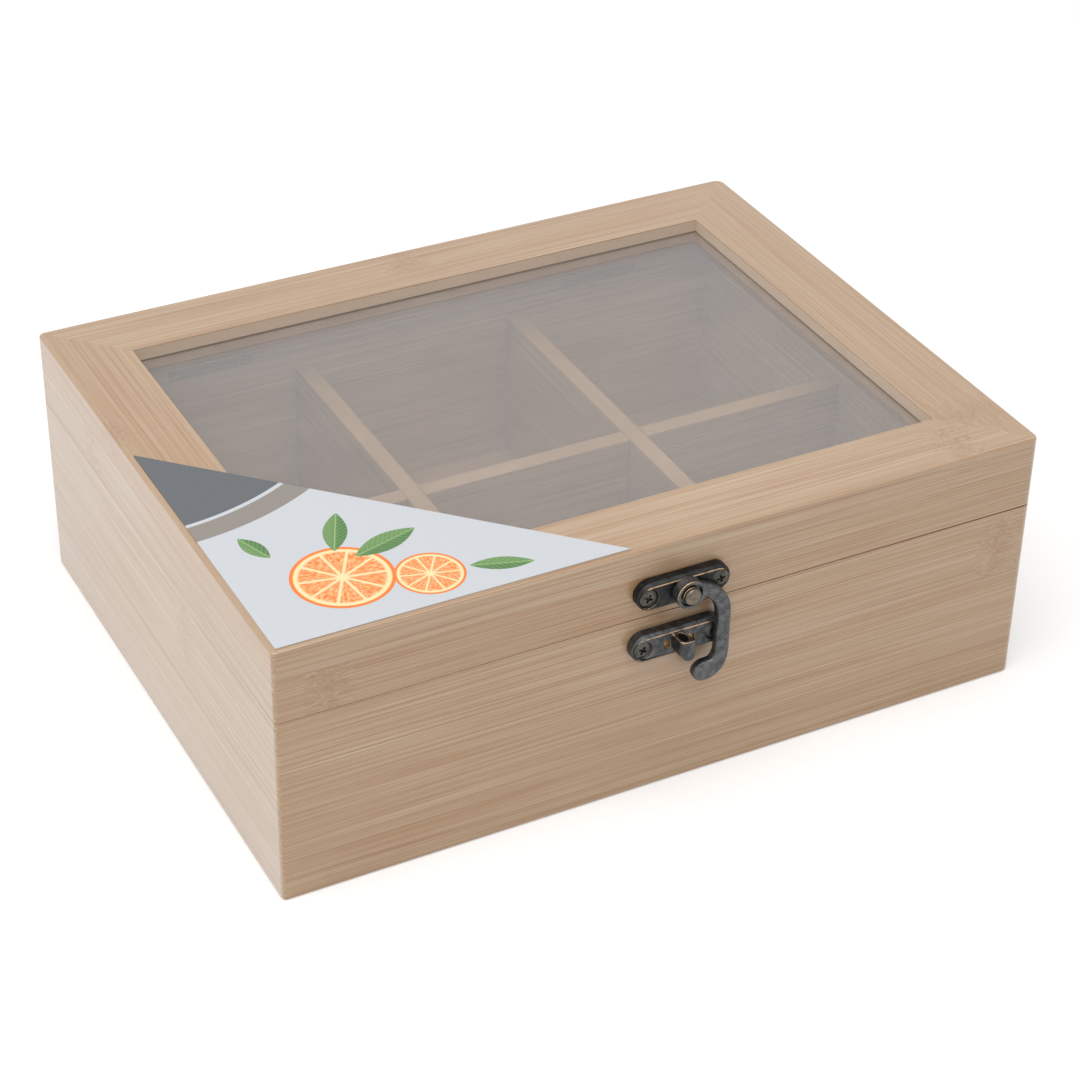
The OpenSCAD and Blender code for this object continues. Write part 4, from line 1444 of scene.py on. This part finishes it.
def screw_shape(head_r, head_t, shank_r, total, steps=32):
    """A countersunk wood screw: its head's top is at the origin and its point below.

    The head has a cross recess, and the shank a thread that stays inside shank_r.
    """
    dome = lip = DOME_SHARE * head_t
    core_r = 0.7 * shank_r
    profile = [(0, dome), (0.45 * head_r, 0.8 * dome), (0.85 * head_r, 0.25 * dome),
               (head_r, -lip / 2), (head_r, -lip), (shank_r, -head_t),
               (shank_r, -head_t - 0.4 * shank_r), (core_r, -head_t - 0.8 * shank_r),
               (core_r, -total + shank_r), (0, -total)]
    body = lathe(profile, steps)
    cross_l, cross_w, cross_t = 1.0 * head_r, 0.28 * head_r, 0.3 * head_t
    cuts = []
    for size in ((cross_l, cross_w), (cross_w, cross_l)):
        low = Vector((-size[0] / 2, -size[1] / 2, -cross_t))
        cuts.append(("DIFFERENCE", block(low, (size[0] / 2, size[1] / 2, head_t))))
    funnel = lathe([(0, -0.6 * head_t), (0.1 * head_r, -0.6 * head_t), (0.3 * head_r, head_t),
                    (0, head_t)], 16)
    cuts.append(("DIFFERENCE", funnel))
    shape = combined(body, cuts)
    add_thread(shape, shank_r, head_t + shank_r, total - 1.2 * shank_r)
    return shape


def add_thread(shape, crest_r, start, end, pitch_share=0.8, steps=14):
    """A helical ridge round the shank, from start to end below the head."""
    pitch = pitch_share * crest_r
    root_r = 0.66 * crest_r
    count = int((end - start) / pitch * steps)
    rows = []
    for step in range(count + 1):
        angle = 2 * math.pi * step / steps
        height = -start - pitch * step / steps
        # The ridge runs out to nothing at both ends
        grown = min(1.0, step / steps, (count - step) / steps)
        ridge = root_r + (crest_r - root_r) * grown
        out = Vector((math.cos(angle), math.sin(angle), 0))
        rows.append([shape.verts.new(out * root_r + Z_AXIS * (height + 0.3 * pitch)),
                     shape.verts.new(out * ridge + Z_AXIS * height),
                     shape.verts.new(out * root_r + Z_AXIS * (height - 0.3 * pitch))])
    made = []
    for here, after in zip(rows, rows[1:]):
        for side in range(3):
            other = (side + 1) % 3
            made.append(shape.faces.new((here[side], after[side], after[other], here[other])))
    made.append(shape.faces.new(rows[0]))
    made.append(shape.faces.new(reversed(rows[-1])))
    bmesh.ops.recalc_face_normals(shape, faces=made)


def screw_tree():
    """Geometry Nodes that set one screw on every point, each turned by chance."""
    tree = bpy.data.node_groups.new("screw_set", "GeometryNodeTree")
    for label, kind in (("Points", "Geometry"), ("Screw", "Object"), ("Tilt", "Vector"),
                        ("Sink", "Float"), ("Largest turn", "Float"), ("Turn seed", "Int"),
                        ("Finish", "Material")):
        tree.interface.new_socket(name=label, in_out="INPUT", socket_type="NodeSocket" + kind)
    tree.interface.new_socket(name="Screws", in_out="OUTPUT", socket_type="NodeSocketGeometry")
    w = Wiring(tree)
    given = w.add("NodeGroupInput").outputs
    result = w.add("NodeGroupOutput").inputs
    screw = w.add("GeometryNodeObjectInfo", {"Object": given["Screw"]})
    # Socket 3 is the largest value of the kind that's a number, and socket 1 its result
    chance = w.add("FunctionNodeRandomValue", {3: given["Largest turn"],
                                               "Seed": given["Turn seed"]}, data_type="FLOAT")
    spin = w.add("FunctionNodeEulerToRotation", {0: w.join(0, 0, chance.outputs[1])})
    tilt = w.add("FunctionNodeEulerToRotation", {0: given["Tilt"]})
    both = w.add("FunctionNodeRotateRotation", {0: tilt.outputs[0], 1: spin.outputs[0]},
                 rotation_space="LOCAL")
    points = w.add("GeometryNodeMeshToPoints", {"Mesh": given["Points"]})
    placed = w.add("GeometryNodeInstanceOnPoints",
                   {"Points": points.outputs[0], "Instance": screw.outputs["Geometry"],
                    "Rotation": both.outputs[0]})
    # Each screw is sunk along its own axis
    sunk = w.add("GeometryNodeTranslateInstances",
                 {"Instances": placed.outputs[0], "Translation": w.join(0, 0, given["Sink"]),
                  "Local Space": True})
    real = w.add("GeometryNodeRealizeInstances", {0: sunk.outputs[0]})
    finished = w.add("GeometryNodeSetMaterial", {"Geometry": real.outputs[0],
                                                 "Material": given["Finish"]})
    w.feed(result[0], finished.outputs[0])
    return tree


def screw_set(name, points, tilt, screw, sink, seed, finish):
    """The mesh of a set of screws, one on each point."""
    seats = bpy.data.meshes.new(name + "_seats")
    seats.from_pydata(points, [], [])
    host = in_scene(name + "_seats", seats)
    tree = bpy.data.node_groups.get("screw_set") or screw_tree()
    modifier = host.modifiers.new("screws", "NODES")
    modifier.node_group = tree
    values = {"Screw": screw, "Tilt": tilt, "Sink": sink, "Largest turn": math.pi / 2,
              "Turn seed": seed, "Finish": finish}
    for socket in tree.interface.items_tree:
        if socket.in_out == "INPUT" and socket.name in values:
            modifier[socket.identifier] = values[socket.name]
    graph = bpy.context.evaluated_depsgraph_get()
    mesh = bpy.data.meshes.new_from_object(host.evaluated_get(graph))
    host.modifiers.remove(modifier)
    bpy.data.objects.remove(host)
    return mesh


def sharpen(piece):
    """Marks the piece's clear angles as sharp, so that they shade crisply."""
    shape = bmesh.new()
    shape.from_mesh(piece.data)
    for edge in shape.edges:
        edge.smooth = not is_sharp(edge)
    shape.to_mesh(piece.data)
    shape.free()


class TEABOX_OT_plate_screws(Operator):
    """Makes the four screws that hold the latch's plates"""

    bl_idname = "teabox.plate_screws"
    bl_label = "Latch screws"

    seed: IntProperty(name="Seed", description="Chooses how the screws are turned", default=4)

    def execute(self, context):
        finish = screw_finish("worn_screws", SCREW_TONE, 0.05)
        shape = screw_shape(HEAD_R, HEAD_T, SHANK_R, SCREW_L)
        screw = in_scene("plate_screw", mesh_of("plate_screw", shape))
        sink = -context.scene.tea_metal.head_sink
        for node, body in (("hook_plate_screws", "lid"), ("catch_plate_screws", "box")):
            centre = middle(node)
            points = [(centre.x + side * SCREW_SPACING / 2, FRONT_Y - PLATE_T, centre.z)
                      for side in (-1, 1)]
            mesh = screw_set(node, points, (math.pi / 2, 0, 0), screw, sink, self.seed, finish)
            sharpen(new_piece(node + "_set", mesh, body, finish, [node]))
        bpy.data.objects.remove(screw)
        return {"FINISHED"}


# ---- Hinges ----


class TEABOX_OT_hinges(Operator):
    """Makes the hinges' leaves and pins"""

    bl_idname = "teabox.hinges"
    bl_label = "Hinges"

    def execute(self, context):
        finish = hinge_finish()
        edge_r = context.scene.tea_metal.edge_r
        for hand in HANDS:
            for body in ("box", "lid"):
                node = f"hinge_{body}_leaf_{hand}"
                piece = new_piece(node + "_rolled", copy_of(node), body, finish,
                                  [node])
                add_bevel(piece, edge_r, "ANGLE", 2)
            node = "hinge_pin_" + hand
            low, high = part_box(node)
            radius, half = (high.z - low.z) / 2, (high.x - low.x) / 2
            dome = [(radius * math.sin(math.radians(a)),
                     half - 0.5 * radius * (1 - math.cos(math.radians(a))))
                    for a in range(0, 91, 15)]
            profile = [(r, -h) for r, h in dome] + [(r, h) for r, h in reversed(dome)]
            place = Matrix.Translation(middle(node)) @ Matrix.Rotation(math.pi / 2, 4, "Y")
            pin = turned(lathe(profile, 32), place)
            new_piece(node + "_turned", pin, "box", finish, [node])
        return {"FINISHED"}


class TEABOX_OT_hinge_screws(Operator):
    """Makes the eight small screws that hold the hinges"""

    bl_idname = "teabox.hinge_screws"
    bl_label = "Hinge screws"

    seed: IntProperty(name="Seed", description="Chooses how the screws are turned", default=7)

    def execute(self, context):
        finish = hinge_finish()
        head_r, head_t, shank_r = 1.7 * MM, 0.9 * MM, 0.8 * MM
        low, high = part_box("hinge_box_screws")
        total = high.z - low.z
        shape = screw_shape(head_r, head_t, shank_r, total, 24)
        screw = in_scene("hinge_screw", mesh_of("hinge_screw", shape))
        xs = []
        for hand in HANDS:
            hinge_x = middle("hinge_pin_" + hand).x
            reach = high.x - head_r - abs(hinge_x)
            xs += [hinge_x - reach, hinge_x + reach]
        y = (low.y + high.y) / 2
        sink = -DOME_SHARE * head_t
        lid_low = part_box("hinge_lid_screws")[0]
        for node, body, z, tilt in (("hinge_box_screws", "box", high.z, (0, 0, 0)),
                                    ("hinge_lid_screws", "lid", lid_low.z, (math.pi, 0, 0))):
            mesh = screw_set(node, [(x, y, z) for x in xs], tilt, screw, sink, self.seed, finish)
            sharpen(new_piece(node + "_set", mesh, body, finish, [node]))
        bpy.data.objects.remove(screw)
        return {"FINISHED"}


# ---- Stage ----

# The camera looks at the box from its left front, from above
CAMERA_AZIMUTH, CAMERA_ELEVATION, CAMERA_ROLL = -27.95, 34.08, 1.10
CAMERA_LENS = 92.97
CAMERA_SENSOR = 36
# The origin of the box, from the camera: left of its axis, below it and ahead
BOX_FROM_CAMERA = Vector((-4.66, -20.07, -763.8)) * MM

# Places, aims and sizes of the lamps, in metres
KEY_PLACE, KEY_AIM, KEY_SIZE = (-0.25, -0.35, 1.3), (0, 0, 0.04), 1.4
SIDE_PLACE, SIDE_AIM, SIDE_SIZE = (-1.2, 0.3, 0.5), (0, 0, 0.03), 0.9

# Half the floor's length, how far it lies under the box, and where its far glow starts and ends
FLOOR_HALF, FLOOR_DROP = 6.0, 0.1 * MM
FAR_START, FAR_END = 0.45, 1.4


def make_camera():
    """The camera at the photograph's viewing angle."""
    azimuth, elevation = math.radians(CAMERA_AZIMUTH), math.radians(CAMERA_ELEVATION)
    back = Vector((math.sin(azimuth) * math.cos(elevation),
                   -math.cos(azimuth) * math.cos(elevation), math.sin(elevation)))
    right = Vector((math.cos(azimuth), math.sin(azimuth), 0))
    level = Matrix((right, back.cross(right), back))
    turn = Matrix.Rotation(-math.radians(CAMERA_ROLL), 3, "Z") @ level
    data = bpy.data.cameras.new("camera")
    data.lens = CAMERA_LENS
    data.sensor_width = CAMERA_SENSOR
    data.sensor_fit = "HORIZONTAL"
    data.clip_start, data.clip_end = 0.05, 50
    camera = in_scene("camera", data)
    camera.matrix_world = (Matrix.Translation(turn.transposed() @ -BOX_FROM_CAMERA)
                           @ turn.transposed().to_4x4())
    bpy.context.scene.camera = camera


def make_lamp(name, place, aim, size, power):
    """A large soft square lamp that points at a place."""
    data = bpy.data.lights.new(name, "AREA")
    data.shape = "SQUARE"
    data.size = size
    data.energy = power
    lamp = in_scene(name, data)
    lamp.location = place
    lamp.rotation_euler = (Vector(aim) - Vector(place)).to_track_quat("-Z", "Y").to_euler()


def seen_directly(w):
    """1 for rays from the camera, a mirror or glass, and 0 for the rest."""
    path = w.add("ShaderNodeLightPath").outputs
    seen = w.math("MAXIMUM", path["Is Camera Ray"], path["Is Glossy Ray"])
    return w.math("MAXIMUM", seen, path["Is Transmission Ray"])


def make_floor(settings):
    """A pale floor that keeps the box's shadow."""
    shape = bmesh.new()
    bmesh.ops.create_grid(shape, x_segments=1, y_segments=1, size=FLOOR_HALF,
                          matrix=Matrix.Translation((0, 0, -FLOOR_DROP)))
    floor = in_scene("floor", mesh_of("floor", shape))
    material, w, shader, output = new_material("floor")
    shader.inputs["Base Color"].default_value = (*settings.floor, 1)
    shader.inputs["Roughness"].default_value = 0.9
    shader.inputs["Specular IOR Level"].default_value = 0.0
    # Far from the box the lamps fade, so there the camera sees more glow
    place = w.add("ShaderNodeTexCoord").outputs["Object"]
    far = w.ramp(w.vector("LENGTH", place), FAR_START, FAR_END)
    more = w.math("MULTIPLY", far, w.add("ShaderNodeLightPath").outputs["Is Camera Ray"])
    near = w.math("MULTIPLY", seen_directly(w), settings.floor_glow)
    glow = w.add("ShaderNodeEmission",
                 {"Strength": w.math("MULTIPLY_ADD", more, settings.far_glow, near)})
    both = w.add("ShaderNodeAddShader", {0: shader.outputs[0], 1: glow.outputs[0]})
    w.feed(output.inputs["Surface"], both.outputs[0])
    floor.data.materials.append(material)


def make_world(settings):
    """White surroundings, dimmer as a light than they look."""
    world = bpy.data.worlds.new("studio")
    bpy.context.scene.world = world
    world.use_nodes = True
    world.node_tree.nodes.clear()
    w = Wiring(world.node_tree)
    backdrop = w.add("ShaderNodeBackground",
                     {"Color": (1, 1, 1),
                      "Strength": w.ramp(seen_directly(w), 0, 1, settings.sky, 1)})
    w.add("ShaderNodeOutputWorld", {"Surface": backdrop.outputs[0]})


class TEABOX_OT_stage(Operator):
    """Makes the floor, the light and the camera"""

    bl_idname = "teabox.stage"
    bl_label = "Stage"

    def execute(self, context):
        settings = context.scene.tea_stage
        make_floor(settings)
        make_world(settings)
        make_lamp("key", KEY_PLACE, KEY_AIM, KEY_SIZE, settings.key)
        make_lamp("side", SIDE_PLACE, SIDE_AIM, SIDE_SIZE, settings.side)
        make_camera()
        context.scene.view_settings.view_transform = "Standard"
        return {"FINISHED"}


# ---- Add-on ----

SETTINGS = {"tea_boards": BoardSettings, "tea_metal": MetalSettings, "tea_glass": GlassSettings,
            "tea_card": CardSettings, "tea_stage": StageSettings}
STEPS = (TEABOX_OT_walls, TEABOX_OT_bottom, TEABOX_OT_dividers, TEABOX_OT_skirt, TEABOX_OT_frame,
         TEABOX_OT_glass, TEABOX_OT_card, TEABOX_OT_plates, TEABOX_OT_plate_screws, TEABOX_OT_hook,
         TEABOX_OT_rivet, TEABOX_OT_hinges, TEABOX_OT_hinge_screws, TEABOX_OT_stage)


class TEABOX_PT_panel(Panel):
    """Lists the box's settings and steps"""

    bl_label = "Tea Bag Box"
    bl_idname = "TEABOX_PT_panel"
    bl_space_type = "VIEW_3D"
    bl_region_type = "UI"
    bl_category = "Tea Box"

    def draw(self, context):
        for step in STEPS:
            self.layout.operator(step.bl_idname)
        for name, kind in SETTINGS.items():
            box = self.layout.box()
            for setting in kind.__annotations__:
                box.prop(getattr(context.scene, name), setting)


def register():
    """Registers the settings, the steps and the panel."""
    for kind in (*SETTINGS.values(), *STEPS, TEABOX_PT_panel):
        bpy.utils.register_class(kind)
    for name, kind in SETTINGS.items():
        setattr(bpy.types.Scene, name, PointerProperty(type=kind))


def unregister():
    """Takes them all away again."""
    for name in SETTINGS:
        delattr(bpy.types.Scene, name)
    for kind in (TEABOX_PT_panel, *reversed(STEPS), *SETTINGS.values()):
        bpy.utils.unregister_class(kind)


def main():
    """Builds every piece in order."""
    register()
    for step in STEPS:
        family, action = step.bl_idname.split(".")
        getattr(getattr(bpy.ops, family), action)()


if __name__ == "__main__":
    main()
